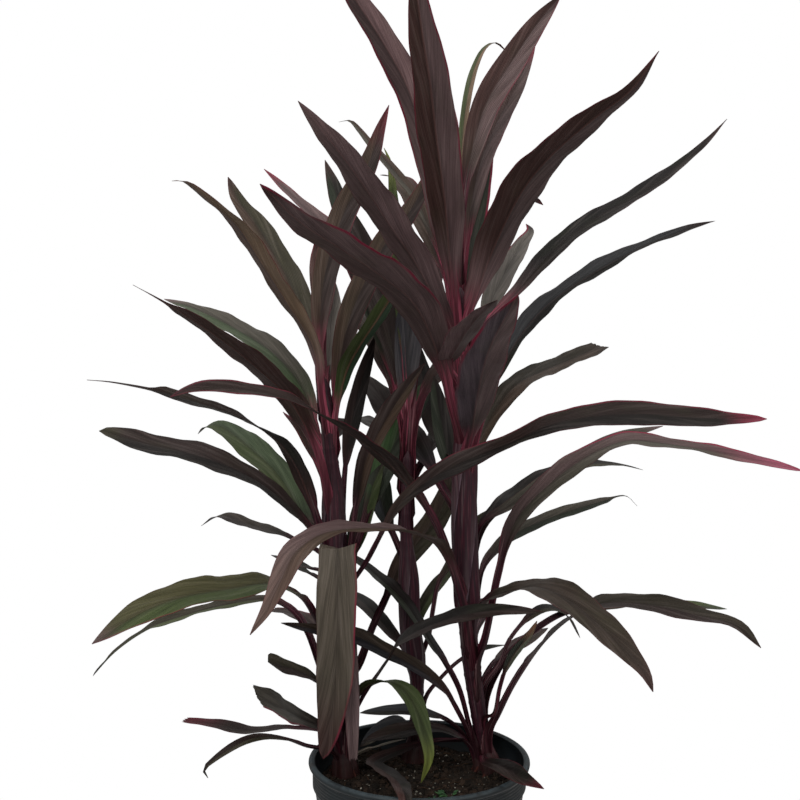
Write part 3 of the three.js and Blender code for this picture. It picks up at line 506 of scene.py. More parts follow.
LEFT_LEAVES = {
    "across_the_front": leaf(370, 0.15, 29, [-20, -20, -25, -40, -50, -52, -24, -42, -45, -42, -40],
        "cocoa umber ink rose", (0.6, 0.2), [
        [-50, 417, -20], [-37, 442, -45], [-21, 470, -65], [12, 497, -90], [52, 517, -105], [92, 533, -115],
        [130, 550, -120], [170, 558, -125], [220, 561, -125], [275, 557, -125], [347, 556, -120],
    ], tip_start=0.9, taper=0.45, tail=(0.93, 0.75)),
    "upper_left_front": leaf(575, 0.03, 33, [10], "dusk fawn taupe tan", (0.4, 0.1), [
        [-106, 627, 0], [-134, 675, -30], [-159, 714, -65], [-183, 750, -100], [-210, 773, -125],
        [-235, 793, -145], [-248, 794, -155],
    ], stalk="blush"),
    "upper_left": leaf(590, 0.06, 37, [0, 5], "olive cocoa olive wine", (0.1, 0.1), [
        [-105, 635, 45], [-122, 675, 80], [-142, 713, 115], [-164, 750, 150], [-182, 775, 175],
        [-192, 798, 195],
    ], stalk="blush"),
    "tall_right": leaf(590, 0.08, 28, [-30, -40, -45], "wine cocoa umber crimson", (0.2, 0.35), [
        [-100, 655, 45], [-94, 705, 60], [-77, 760, 78], [-59, 795, 88], [-48, 820, 95], [-40, 845, 100],
        [-31, 870, 105],
    ], tip_start=0.8, stalk="blush", taper=0.85),
    "tall_inner": leaf(560, 0.03, 28, [-40, -60, -60], "wine cocoa umber wine", (0.3, 0.3), [
        [-79, 620, 40], [-68, 663, 45], [-50, 703, 50], [-31, 737, 55], [-12, 761, 58], [1, 783, 61],
        [14, 815, 65],
    ], stalk="blush"),
    "small_inner": leaf(570, 0.1, 24, [0], "ash dove dove dove", (0, 0), [
        [-90, 635, 80], [-86, 695, 150],
    ], stalk="blush"),
    "tiny_tip": leaf(475, 0.3, 12, [0], "wine wine wine rose", (0.5, 0.5), [
        [-108, 520, 60], [-120, 545, 90], [-137, 563, 120],
    ], tip_start=0.75, stalk="blush"),
    "green_inner": leaf(555, 0.03, 28, [15], "green jade fern forest", (0.1, 0), [
        [-75, 600, 15], [-60, 630, -5], [-40, 660, -15], [-25, 685, -15], [-10, 715, -10],
    ], stalk="blush", rib="tan"),
    "wide_left": leaf(495, 0.15, 38, [10], "green sage ash dusk", (0.1, 0.1), [
        [-104, 535, 60], [-116, 582, 80], [-143, 618, 120], [-186, 647, 175], [-228, 667, 220],
        [-256, 676, 250],
    ], stalk="blush"),
    "wide_left_front": leaf(475, 0.15, 38, [-10], "umber wine wine mauve", (0.2, 0.5), [
        [-102, 515, 0], [-114, 547, -5], [-130, 575, -15], [-158, 603, -45], [-195, 633, -80],
        [-235, 660, -110], [-265, 678, -135], [-287, 690, -155],
    ], stalk="blush", taper=1.3, tail=(0.86, 0.4)),
    "arched_left": leaf(420, 0.12, 30, [-50, -30, 10, 30, 30], "wine ink umber umber", (0.1, 0.1), [
        [-102, 450, 5], [-112, 480, -10], [-123, 507, -25], [-138, 530, -45], [-160, 547, -70],
        [-190, 561, -95], [-225, 573, -120], [-260, 583, -145], [-310, 593, -178], [-333, 595, -185],
    ], taper=1, tail=(0.82, 0.35)),
    "green_left": leaf(430, 0.02, 38, [0, 20], "forest fern sage ash", (0.1, 0), [
        [-113, 452, 45], [-129, 481, 80], [-147, 506, 115], [-165, 523, 145], [-184, 539, 180],
        [-201, 549, 210], [-212, 549, 225], [-222, 541, 240],
    ]),
    "level_left": leaf(435, 0.03, 42, [20, 25], "umber ink umber olive", (0, 0), [
        [-108, 443, 20], [-130, 468, 16], [-168, 497, 10], [-218, 518, 5], [-270, 530, 0], [-302, 539, -5],
        [-321, 544, -10],
    ], taper=0.5),
    "thin_left": leaf(410, 0.2, 20, [0, 10, 15], "ink umber loam ink", (0, 0.1), [
        [-130, 437, 80], [-170, 450, 150], [-200, 459, 210], [-219, 449, 250],
    ]),
    "small_left": leaf(395, 0.2, 16, [0], "wine wine ink ink", (0, 0), [
        [-115, 408, 70], [-149, 420, 130],
    ]),
    "broad_left": leaf(330, 0.2, 42, [10, 25], "cocoa fern drab plum", (0.45, 0.1), [
        [-105, 355, 0], [-120, 378, -35], [-150, 391, -75], [-190, 386, -120], [-240, 377, -165],
        [-280, 361, -200], [-328, 331, -235],
    ]),
    "drooping_left": leaf(280, 0.25, 32, [15], "wine moss olive umber", (0, 0.2), [
        [-102, 310, 35], [-115, 345, 50], [-130, 365, 65], [-152, 375, 85], [-190, 371, 110],
        [-230, 361, 130], [-270, 347, 145], [-305, 323, 155], [-327, 299, 160],
    ], taper=0.55),
    "short_left": leaf(320, 0.2, 26, [0], "wine wine wine wine", (0, 0.8), [
        [-105, 347, 60], [-125, 360, 110], [-150, 365, 160],
    ], whole=0.8),
    "thin_low": leaf(325, 0.3, 8, [0], "wine wine wine crimson", (0.4, 0.4), [
        [-100, 339, 40], [-120, 346, 70], [-138, 352, 100],
    ]),
    "small_left_low": leaf(375, 0.4, 10, [0], "wine wine forest ink", (0, 0), [
        [-98, 393, 60], [-117, 405, 100], [-135, 415, 150],
    ]),
    "stub_left": leaf(275, 0.05, 24, [40], "umber umber olive olive", (0, 0), [
        [-100, 292, -10], [-128, 306, -60], [-152, 313, -100],
    ], whole=0.6, ragged=0),
    "cut_left": leaf(240, 0.05, 34, [45], "umber ash ash ash", (0.9, 0), [
        [-120, 257, -5], [-140, 267, -50], [-163, 278, -90],
    ], whole=0.75, ragged=1.5),
    "low_left": leaf(235, 0.2, 18, [15], "umber umber umber crimson", (0.2, 0.2), [
        [-130, 247, 60], [-170, 244, 100], [-200, 250, 130], [-235, 255, 160],
    ], whole=0.85, tip_start=0.62),
    "low_thin": leaf(222, 0.3, 10, [25], "wine olive umber ink", (0, 0), [
        [-115, 229, -10], [-135, 236, -30], [-160, 238, -50], [-180, 232, -65], [-205, 216, -80],
        [-216, 205, -90], [-212, 197, -92],
    ]),
    "hanging_front": leaf(318, 0.02, 43, [0], "green stone stone wine", (0.8, 0.15), [
        [-79, 350, 8], [-80, 395, 2], [-81, 424, -6], [-82, 426, -18], [-82, 395, -30], [-83, 340, -36],
        [-85, 290, -34], [-91, 245, -28], [-97, 216, -24],
    ], tip_start=0.7, taper=0.6),
    "hanging_strip": leaf(345, 0.1, 15, [0], "dusk dusk dusk dusk", (0, 0.2), [
        [-68, 345, 0], [-68, 318, -16], [-68, 268, -24], [-67, 216, -24],
    ], whole=0.85, ragged=2),
    "low_right": leaf(245, 0.12, 24, [-30, -40], "wine ink umber umber", (0.1, 0), [
        [-58, 275, 5], [-44, 297, -5], [-32, 315, -15], [-20, 333, -30], [20, 353, -70], [70, 364, -115],
        [123, 363, -155],
    ]),
    "middle_right": leaf(380, 0.33, 27, [-40, -65, -65], "ink umber cocoa umber", (0.1, 0.1), [
        [-68, 425, 15], [-63, 465, 8], [-60, 487, 4], [-54, 515, 0], [-45, 535, -3], [-25, 570, -10],
        [5, 612, -20],
    ]),
    "straw_strip": leaf(215, 0.3, 6, [0], "straw straw straw straw", (0, 0), [
        [-60, 222, 34], [-35, 231, 36], [-14, 236, 36],
    ], stalk="straw"),
    "green_arch": leaf(235, 0.2, 26, [10], "olive fern fern lime", (0, 0), [
        [-68, 260, 10], [-58, 285, -5], [-45, 293, -15], [-25, 291, -30], [-8, 275, -45], [3, 245, -60],
        [8, 218, -70], [1, 192, -75],
    ], tip_start=0.7),
    "rising_behind": leaf(290, 0.3, 28, [-30, -40], "wine cocoa olive umber", (0, 0), [
        [-60, 310, 30], [-48, 345, 50], [-35, 375, 70], [-22, 405, 95], [-4, 430, 125], [15, 455, 155],
        [30, 490, 190], [35, 525, 220],
    ]),
    "green_behind": leaf(400, 0.2, 30, [-20, -40], "forest green forest umber", (0, 0), [
        [-62, 430, 20], [-52, 465, 35], [-38, 502, 55], [-22, 540, 105], [-2, 575, 155], [15, 600, 200],
    ]),
    "inner_green": leaf(400, 0.1, 24, [-30, -50], "green forest fern umber", (0, 0), [
        [-63, 440, 28], [-57, 464, 35], [-48, 488, 45], [-37, 512, 52],
    ]),
    "inner_dark": leaf(420, 0.35, 20, [-30, -55], "wine umber ink umber", (0, 0), [
        [-77, 455, 30], [-76, 500, 50], [-73, 525, 65], [-66, 565, 90], [-57, 600, 110], [-45, 640, 130],
    ]),
    "crown_back": leaf(597, 0.2, 32, [0], "wine wine wine crimson", (0.5, 0.5), [
        [-97, 660, 90], [-96, 710, 150], [-90, 740, 210], [-85, 750, 270],
    ], stalk="blush"),
    "crown_back_left": leaf(590, 0.2, 32, [0], "wine wine cocoa crimson", (0.5, 0.5), [
        [-92, 620, 90], [-95, 645, 150], [-98, 650, 210], [-102, 635, 270],
    ], stalk="blush"),
    "low_back": leaf(320, 0.2, 32, [0], "wine olive cocoa wine", (0.3, 0.3), [
        [-85, 345, 90], [-88, 365, 150], [-86, 362, 220], [-82, 340, 290],
    ]),
}

BACK_LEAVES = {
    "tall_left": leaf(540, 0.15, 34, [0], "wine mauve mauve rose", (0.6, 0.6), [
        [-24, 590, 105], [-50, 678, 145], [-90, 742, 180], [-120, 772, 205], [-156, 806, 235],
    ], stalk="blush"),
    "tall_left_behind": leaf(535, 0.15, 36, [0], "umber forest ink wine", (0.2, 0.1), [
        [-40, 650, 120], [-72, 745, 190], [-95, 815, 240],
    ], stalk="blush"),
    "middle_left": leaf(520, 0.15, 34, [20, 45], "wine umber umber umber", (0, 0), [
        [-18, 555, 80], [-22, 590, 90], [-30, 640, 110], [-42, 690, 130], [-58, 735, 150], [-68, 765, 160],
    ], stalk="blush"),
    "middle": leaf(530, 0.15, 30, [0], "wine night night umber", (0, 0.1), [
        [-13, 600, 85], [-10, 660, 105], [-8, 725, 125],
    ], stalk="blush"),
    "thin_tall": leaf(545, 0.2, 14, [0], "forest fern fern lime", (0, 0), [
        [-22, 700, 120], [-27, 780, 165], [-31, 815, 185], [-36, 827, 190],
    ], tip_start=0.72, stalk="blush"),
    "top_back": leaf(545, 0.2, 34, [0], "wine wine plum crimson", (0.5, 0.5), [
        [-3, 620, 110], [10, 700, 180], [25, 755, 250], [35, 785, 320],
    ], stalk="blush"),
    "top_back_left": leaf(530, 0.2, 34, [0], "wine cocoa wine crimson", (0.4, 0.4), [
        [-32, 600, 120], [-52, 653, 190], [-68, 663, 260], [-80, 650, 330],
    ], stalk="blush"),
    "top_back_right": leaf(520, 0.2, 34, [0], "wine wine umber wine", (0.4, 0.4), [
        [5, 580, 120], [35, 622, 180], [62, 640, 250], [82, 636, 320],
    ], stalk="blush"),
    "back_left": leaf(495, 0.2, 34, [0], "wine umber umber wine", (0.3, 0.3), [
        [-22, 530, 115], [-45, 550, 180], [-70, 555, 250], [-85, 535, 320],
    ]),
    "slate_left": leaf(415, 0.2, 28, [0], "forest slate forest umber", (0, 0), [
        [-32, 450, 85], [-40, 478, 100], [-44, 505, 120], [-48, 535, 140],
    ]),
    "back_right": leaf(480, 0.2, 34, [0], "wine umber cocoa wine", (0.3, 0.3), [
        [8, 520, 120], [26, 550, 190], [42, 563, 260], [60, 550, 330],
    ]),
    "behind_right": leaf(280, 0.35, 20, [0], "olive olive cocoa umber", (0, 0), [
        [2, 315, 70], [10, 340, 75], [14, 365, 80], [19, 390, 90], [32, 415, 105], [50, 445, 130],
        [100, 478, 160], [128, 494, 195],
    ]),
    "olive_right": leaf(320, 0.1, 18, [0], "olive olive moss umber", (0, 0), [
        [-2, 355, 80], [7, 375, 90], [19, 392, 110], [30, 405, 130], [42, 419, 150],
    ]),
    "arched_left_low": leaf(310, 0.1, 24, [0], "wine umber ink umber", (0, 0), [
        [-22, 333, 85], [-35, 349, 100], [-49, 365, 120], [-63, 377, 150], [-80, 387, 180],
    ]),
    "low_right": leaf(250, 0.6, 14, [0], "wine forest forest umber", (0.1, 0.2), [
        [7, 278, 72], [20, 295, 80], [40, 314, 100], [65, 327, 130], [87, 330, 150],
    ]),
    "over_the_soil": leaf(228, 0.2, 22, [20], "umber ash slate umber", (0, 0), [
        [-12, 252, 40], [-28, 250, 20], [-45, 240, 0], [-60, 228, -15],
    ]),
}

LEAVES = {"right": RIGHT_LEAVES, "left": LEFT_LEAVES, "back": BACK_LEAVES}


def smooth(value, low=0.0, high=1.0):
    """0 below low, 1 above high, and an even ease between them."""
    share = np.clip((np.asarray(value, float) - low) / (high - low), 0, 1)
    return share * share * (3 - 2 * share)


def mix(low, high, share):
    """Goes from low to high as the share goes from 0 to 1."""
    return low + (high - low) * share


def unit(vectors):
    """The same directions at length 1."""
    return vectors / np.linalg.norm(vectors, axis=-1, keepdims=True)


def seen(points):
    """Places of board points (across, up, depth), each at its depth on its line of sight."""
    across, up, depth = np.asarray(points, float).T
    rise = up - BOARD_MIDDLE
    away = BOARD_DISTANCE * math.cos(LOOK_DOWN) + rise * math.sin(LOOK_DOWN)
    drop = BOARD_DISTANCE * math.sin(LOOK_DOWN) - rise * math.cos(LOOK_DOWN)
    reach = (depth - EYE[1]) / away
    return np.stack([EYE[0] + (across - EYE[0]) * reach, depth, EYE[2] - drop * reach], axis=-1)


class Curve:
    """A smooth curve through points, read by its share of length.

    Each span is a cubic, timed by the square root of its length, so that it makes no loops.
    """

    SAMPLES = 60
    NEAR = 0.003

    def __init__(self, points):
        before, after = 2 * points[0] - points[1], 2 * points[-1] - points[-2]
        knots = np.concatenate([[before], points, [after]])
        weight = np.linspace(0, 1, self.SAMPLES, endpoint=False)[:, None]
        spans = []
        for first in range(len(points) - 1):
            a, b, c, d = knots[first:first + 4]
            gaps = [max(np.linalg.norm(q - p) ** 0.5, 1e-4) for p, q in ((a, b), (b, c), (c, d))]
            leave = (b - a) / gaps[0] - (c - a) / (gaps[0] + gaps[1]) + (c - b) / gaps[1]
            arrive = (c - b) / gaps[1] - (d - b) / (gaps[1] + gaps[2]) + (d - c) / gaps[2]
            leave, arrive = leave * gaps[1], arrive * gaps[1]
            square = 3 * (c - b) - 2 * leave - arrive
            cube = 2 * (b - c) + leave + arrive
            spans.append(b + leave * weight + square * weight ** 2 + cube * weight ** 3)
        self.points = np.concatenate(spans + [points[-1:]])
        steps = np.linalg.norm(np.diff(self.points, axis=0), axis=1)
        travelled = np.concatenate([[0], np.cumsum(steps)])
        self.length = travelled[-1]
        self.shares = travelled / self.length

    def at(self, share):
        """Places on the curve."""
        return np.stack([np.interp(share, self.shares, axis) for axis in self.points.T], axis=-1)

    def tangent(self, share):
        """The ways that the curve runs."""
        ahead, behind = np.minimum(share + self.NEAR, 1), np.maximum(share - self.NEAR, 0)
        return unit(self.at(ahead) - self.at(behind))


def build(name, points, faces, marks=None, smooth_below=None):
    """An object from rows of points and four-cornered faces, with named values at its points.

    Edges that turn by more than smooth_below degrees are sharp.
    """
    mesh = bpy.data.meshes.new(name)
    mesh.vertices.add(len(points))
    mesh.vertices.foreach_set("co", (np.asarray(points, np.float32) * MM).ravel())
    faces = np.asarray(faces, np.int32)
    mesh.loops.add(faces.size)
    mesh.loops.foreach_set("vertex_index", faces.ravel())
    mesh.polygons.add(len(faces))
    mesh.polygons.foreach_set("loop_start", np.arange(len(faces), dtype=np.int32) * faces.shape[1])
    mesh.update(calc_edges=True)
    mesh.validate()
    mesh.shade_smooth()
    if smooth_below:
        mesh.set_sharp_from_angle(angle=math.radians(smooth_below))
    for key, values in (marks or {}).items():
        values = np.asarray(values, np.float32)
        kind, field = ("FLOAT", "value") if values.ndim == 1 else ("FLOAT_VECTOR", "vector")
        mark = mesh.attributes.new(key, kind, "POINT")
        mark.data.foreach_set(field, values.ravel())
    thing = bpy.data.objects.new(name, mesh)
    bpy.context.scene.collection.objects.link(thing)
    return thing


def grid_faces(rows, columns):
    """The four-cornered faces between rings of points, each ring closed."""
    row, column = np.meshgrid(np.arange(rows - 1), np.arange(columns), indexing="ij")
    here, after = row * columns + column, row * columns + (column + 1) % columns
    return np.stack([here, after, after + columns, here + columns], axis=-1).reshape(-1, 4)


def end_cap(first, around):
    """Closes a ring with faces that join its first half to its second, point by point."""
    near = first + np.arange(around // 2 - 1)
    far = 2 * first + around - 1 - near
    return np.stack([near, far, far - 1, near + 1], axis=-1)


def capped(rows, around):
    """The faces of a closed solid made of rings of points."""
    caps = [end_cap(0, around), end_cap((rows - 1) * around, around)[:, ::-1]]
    return np.concatenate([grid_faces(rows, around)] + caps)


def ring_angles(sides):
    """Even steps round a full turn."""
    return np.linspace(0, TURN, sides, endpoint=False)


def tube(middle, forward, radii, sides):
    """Rings of points round a line of places, and their faces, closed if the sides are even."""
    first = unit(np.cross(forward, [0.0, -1.0, 0.0]))[:, None]
    second = np.cross(first, forward[:, None])
    angle = ring_angles(sides)[None, :, None]
    radii = np.broadcast_to(radii, (len(middle), sides))[..., None]
    points = middle[:, None] + (first * np.cos(angle) + second * np.sin(angle)) * radii
    return points.reshape(-1, 3), capped(len(middle), sides)[:, ::-1]


def lathe(outline, sides):
    """Rings of points of an outline of radius and height, turned about the upright axis.

    The outline's first and last rings are closed by end discs.
    """
    angle = ring_angles(sides)
    radius, height = np.array(outline, float).T[..., None]
    ring = np.stack(np.broadcast_arrays(radius * np.cos(angle), radius * np.sin(angle), height), axis=-1)
    return ring.reshape(-1, 3), capped(len(outline), sides)


def arc(centre, radius, start, end, steps):
    """Points of an arc about a centre, between two angles in degrees."""
    turn = np.radians(np.linspace(start, end, steps))
    return [(centre[0] + radius * math.cos(t), centre[1] + radius * math.sin(t)) for t in turn]


class Heap:
    """Gathers many small meshes into one, with named values at their points."""

    def __init__(self):
        self.points, self.faces, self.marks, self.count = [], [], {}, 0

    def add(self, points, faces, marks):
        """Adds a mesh whose marks hold one value for each of its points."""
        self.points.append(points)
        self.faces.append(faces + self.count)
        self.count += len(points)
        for key, values in marks.items():
            self.marks.setdefault(key, []).append(values)

    def add_grain(self, points, faces, grain):
        """Adds a mesh with one value, its grain, at all its points."""
        self.add(points, faces, {"grain": np.full(len(points), grain)})

    def add_strand(self, middle, radii, sides, grain):
        """Adds a thin tube along a row of places."""
        forward = unit(np.gradient(middle, axis=0))
        self.add_grain(*tube(middle, forward, radii, sides), grain)

    def build(self, name, smooth_below=None):
        """Makes one object of all that the heap holds."""
        marks = {key: np.concatenate(parts) for key, parts in self.marks.items()}
        return build(name, np.concatenate(self.points), np.concatenate(self.faces), marks, smooth_below)


# Leaves.

def cane_point(cane, root):
    """The point on a cane's midline that the board shows at a height."""
    path = np.array(cane["path"], float)
    after = int(np.clip(np.searchsorted(path[:, 1], root, side="right"), 1, len(path) - 1))
    low, high = path[after - 1], path[after]
    return seen([mix(low, high, (root - low[1]) / (high[1] - low[1]))])[0]


def leaf_line(cane, row, number):
    """A leaf's midline, the share of it that runs up the cane's bark, and the way it leaves the cane."""
    root = cane_point(cane, row["root"])
    path = seen(row["path"])
    away = unit((path[0] - root) * [1, 1, 0])
    layer = (number % CLASP_LAYERS) * CLASP_LAYER
    under, beside = (away * (cane["radius"] * reach + layer) for reach in CLASP_REACH)
    low = cane_point(cane, row["root"] - CLASP) + under
    line = Curve(np.concatenate([[low, root + beside], path]))
    clasp = line.shares[np.argmin(np.linalg.norm(line.points - root - beside, axis=1))]
    return line, clasp, away


def lance_shape(place, taper, tail):
    """A blade's width along it, 1 at its widest; a higher taper draws the tip out.

    tail is where the blade narrows to a thin end, and the share of its width left there.
    """
    peak = BASE_TAPER / (BASE_TAPER + taper)
    shape = place ** BASE_TAPER * (1 - place) ** taper
    thinned = mix(1, tail[1], smooth(place, tail[0] - TAIL_FADE, tail[0]))
    return thinned * shape / (peak ** BASE_TAPER * (1 - peak) ** taper)


def half_widths(row, share, along, petiole):
    """Half the width of a leaf: a channel that clasps the cane, then opens into the blade."""
    clasping = 1 - smooth(share, 0, petiole * SHEATH_SHARE)
    stalk = np.clip(row["width"] * PETIOLE_TO_BLADE, *PETIOLE_WIDTHS) * (1 + SHEATH_SWELL * clasping)
    stalk = stalk * mix(CLASP_NARROW, 1, smooth(share, 0, CLASP_FADE))
    stalk = stalk * (1 - smooth(along, 0, STALK_END))
    blade = row["width"] * lance_shape(np.minimum(1, along * row["whole"]), row["taper"], row["tail"])
    if row["whole"] < 1 and not row["ragged"]:
        blade = blade * np.sqrt(1 - smooth(along, 1 - ROUND_END, 1) ** 2)
    return np.maximum(np.maximum(stalk, blade), TIP_WIDTH) / 2


def leaf_columns(width):
    """Where a leaf's mesh has its columns, from -1 at the left edge to 1 at the right."""
    half = np.array(COLUMNS if width > BROAD_LEAF else COLUMNS_NARROW)
    return np.concatenate([-half[:0:-1], half])


def leaf_stations(petiole, length):
    """Where a leaf's mesh has its rows: shares of its length, petiole first."""
    petiole_rows = max(PETIOLE_ROWS, round(petiole * length / LEAF_STEP))
    blade_rows = int(np.clip((1 - petiole) * length / LEAF_STEP, *BLADE_ROWS))
    low = np.linspace(0, petiole, petiole_rows, endpoint=False)
    return np.concatenate([low, np.linspace(petiole, 1, blade_rows)])


def leaf_axes(curve, away, share, petiole, roll):
    """The ways across a leaf, off its upper face and along it, at shares of its length.

    At its root the leaf faces the way it leaves the cane, and it turns to the way that it reaches.
    """
    forward = curve.tangent(share)
    outward = curve.points[-1] - curve.points[0]
    heading = math.atan2(outward[1], outward[0])
    turn = heading - math.atan2(away[1], away[0])
    turn = (turn + math.pi) % TURN - math.pi
    turned = smooth(share, 0, petiole + TWIST_SHARE) if abs(turn) < TWIST_LIMIT else np.ones_like(share)
    heading = heading - turn * (1 - turned)
    level = np.stack([np.sin(heading), -np.cos(heading), 0 * heading], axis=-1)
    side = unit(level - forward * np.sum(forward * level, axis=1)[:, None])
    face = np.cross(side, forward)
    roll = np.radians(np.interp(share, np.linspace(0, 1, len(roll)), roll))[:, None]
    across, top = side * np.cos(roll) + face * np.sin(roll), face * np.cos(roll) - side * np.sin(roll)
    return across, top, forward


def leaf_lift(columns, half, leafy, run, phase):
    """How far a leaf stands off its flat: its channel or fold, its ripples, frill and pleats."""
    out = np.abs(columns)[None, :]
    inward = out * half
    crease = np.hypot(out, FOLD_ROUND) - FOLD_ROUND
    fold = half * mix(CHANNEL * out ** 2, FOLD * crease, leafy)
    lag = np.where(columns < 0, 0.0, RIPPLE_LAG)[None, :]
    wave, curl = (run * TURN / length for length in (WAVE_LENGTH, FRILL_LENGTH))
    ripple = WAVE * half * leafy * np.sin(wave + phase + lag) * out ** 1.4
    frill = FRILL * half * leafy * np.sin(curl + 3 * phase + 2 * lag) * out ** 3
    pleat = PLEAT * leafy * np.sin(inward * TURN / PLEAT_LENGTH + phase + run / PLEAT_DRIFT)
    return fold + ripple + frill + pleat * (1 - out ** 4) * smooth(inward, *PLEATED)


def leaf_mesh(cane, row, number):
    """Points, faces and marks of one leaf, a thin closed solid."""
    curve, clasp, away = leaf_line(cane, row, number)
    petiole = mix(clasp, 1, row["petiole"])
    share = leaf_stations(petiole, curve.length)
    along = np.clip((share - petiole) / (1 - petiole), 0, 1)
    columns = leaf_columns(row["width"])
    side, top, forward = leaf_axes(curve, away, share, petiole, row["roll"])

    half = half_widths(row, share, along, petiole)[:, None]
    leafy = smooth(along, 0, LEAFY_START)[:, None]
    phase = number * GOLDEN_ANGLE
    run = (share * curve.length)[:, None]
    across = columns[None, :] * half
    out = np.abs(columns)[None, :]
    lift = leaf_lift(columns, half, leafy, run, phase)
    blade_thick = mix(BLADE_THICKNESS, EDGE_THICKNESS, out ** 3) / 2
    stalk_thick = mix(STALK_THICKNESS, STALK_EDGE, out ** 2) / 2
    thinned = mix(1, TIP_THINNING, smooth(along, THIN_FROM, 1))[:, None]
    thick = mix(stalk_thick, blade_thick, leafy) * thinned
    midrib = leafy * (1 - smooth(along, RIDGE_FADE, 1))[:, None] * np.exp(-(across / RIDGE_WIDTH) ** 2)

    middle = curve.at(share)[:, None, :] + side[:, None, :] * across[..., None]
    if row["whole"] < 1:
        coarse, fine = (columns * count + phase for count in TEETH)
        ragged = row["ragged"] * np.sin(coarse) * np.cos(fine)
        slide = smooth(along, TORN_FROM, 1)[:, None] * ragged[None, :]
        middle = middle + slide[..., None] * forward[:, None, :]
    upper = middle + top[:, None, :] * (lift + thick - midrib * GROOVE)[..., None]
    under = middle + top[:, None, :] * (lift - thick - midrib * RIDGE)[..., None]
    ring = np.concatenate([upper, under[:, ::-1]], axis=1)
    marks = leaf_marks(row, number, along, run, columns, half, share / petiole)
    return ring.reshape(-1, 3), capped(*ring.shape[:2]), marks


def leaf_marks(row, number, along, run, columns, half, risen):
    """What the leaf's colour is made from, at each point of its mesh."""
    base, left, right, tip = (TONES[name] for name in row["tones"])
    across = columns[None, :] * half
    ones = np.ones_like(across)
    to_right = smooth(columns, -HALVES_MEET, HALVES_MEET)[None, :]
    at_base = (1 - smooth(along, 0.0, BASE_FADE))[:, None, None]
    at_tip = smooth(along, row["tip_start"], 1.0)[:, None, None]
    stalk = ones * (1 - smooth(along, 0.0, STALK_FADE))[:, None]
    tone = mix(left, right, (to_right * ones)[..., None])
    tone = mix(tone, base, at_base * BASE_SHARE)
    tone = mix(tone, tip, at_tip)
    stalk_tone = mix(TONES[row["stalk"]], TONES["maroon"], smooth(risen, 1, 0)[:, None, None])
    tone = mix(tone, stalk_tone, stalk[..., None])
    if row["rib"]:
        rib = np.exp(-(across / RIB_TINT) ** 2) * (1 - smooth(along, RIB_TINT_FADE, 1))[:, None]
        tone = mix(tone, TONES[row["rib"]], (rib * (1 - stalk))[..., None])

    red = mix(*row["red"], to_right) * mix(RED_AT_BASE, 1, smooth(along, *RED_FROM))[:, None]
    edge = (1 - np.abs(columns))[None, :] * half
    seed = (number * GOLDEN_SHARE) % 1 + 1
    veins = np.stack([across, run * ones, seed * ones], axis=-1)
    rims = np.stack([edge, red * ones, stalk], axis=-1)

    def both_faces(values):
        return np.concatenate([values, values[:, ::-1]], axis=1).reshape(-1, values.shape[-1])

    under = np.concatenate([0 * ones, ones], axis=1).ravel()
    return {
        "tone": both_faces(tone), "veins": both_faces(veins), "rims": both_faces(rims),
        "under": under, "flush": np.full(len(under), STALK_FLUSH[row["stalk"]]),
    }


def leaves_of(name):
    """All the leaves of one cane, as one piece."""
    heap = Heap()
    for number, row in enumerate(LEAVES[name].values()):
        heap.add(*leaf_mesh(CANES[name], row, number))
    return heap.build("leaves_" + name, smooth_below=50)


# Canes.

def cane_of(name):
    """A cane: old leaf scars ring it, and a crown of roots swells where it leaves the soil."""
    cane = CANES[name]
    curve = Curve(seen(cane["path"]))
    rise = np.arange(0, curve.length, CANE_STEP) / curve.length
    foot = [*curve.points[0][:2], SOIL_LEVEL - CANE_SUNK]
    middle = np.concatenate([[foot], curve.at(rise)])
    forward = np.concatenate([[[0, 0, 1.0]], curve.tangent(rise)])
    share = np.concatenate([[0], rise])
    height = share * curve.length
    low, high = cane["sheathed"]
    wrapped = smooth(height, low - SHEATH_EASE, low)
    wrapped = wrapped * (1 - smooth(height, high - SHEATH_EASE / 2, high + SHEATH_EASE))
    crown = (1 - smooth(height, 0, CROWN_HEIGHT)) * CROWN_SWELL
    scar = np.abs((height / SCAR_SPACING) % 1 - 0.5) * 2
    slender = mix(CANE_FOOT, 1, smooth(height, 0, low)) * (1 - CANE_TAPER * share)
    pointed = np.sqrt(1 - CANE_POINT * smooth(height, curve.length - CANE_TIP, curve.length))
    radius = cane["radius"] * slender * pointed + crown + SCAR_DEPTH * (scar ** 6 - 0.5) * (1 - wrapped)

    angle, up = ring_angles(CANE_SIDES)[None, :], height[:, None]
    wrap = (angle * SHEATHS / TURN + up / SHEATH_TURN) % 1
    bulk = wrapped[:, None] * (SHEATH_BULK + SHEATH_STEP * (1 - wrap) * smooth(wrap, 0, 0.3))
    lobes = sum(size * np.sin(angle * count + up / turned) for count, turned, size in LOBES)
    lobed = (CANE_LOBES + CROWN_LOBES * crown) * pointed
    radii = radius[:, None] + bulk + lobes * lobed[:, None]
    turn = np.stack(np.broadcast_arrays(np.cos(angle), np.sin(angle), up), axis=-1)
    marks = {
        "turn": turn.reshape(-1, 3), "earth": np.repeat(crown / CROWN_SWELL, CANE_SIDES),
        "wrapped": np.repeat(wrapped, CANE_SIDES),
    }
    return build("cane_" + name, *tube(middle, forward, radii, CANE_SIDES), marks)


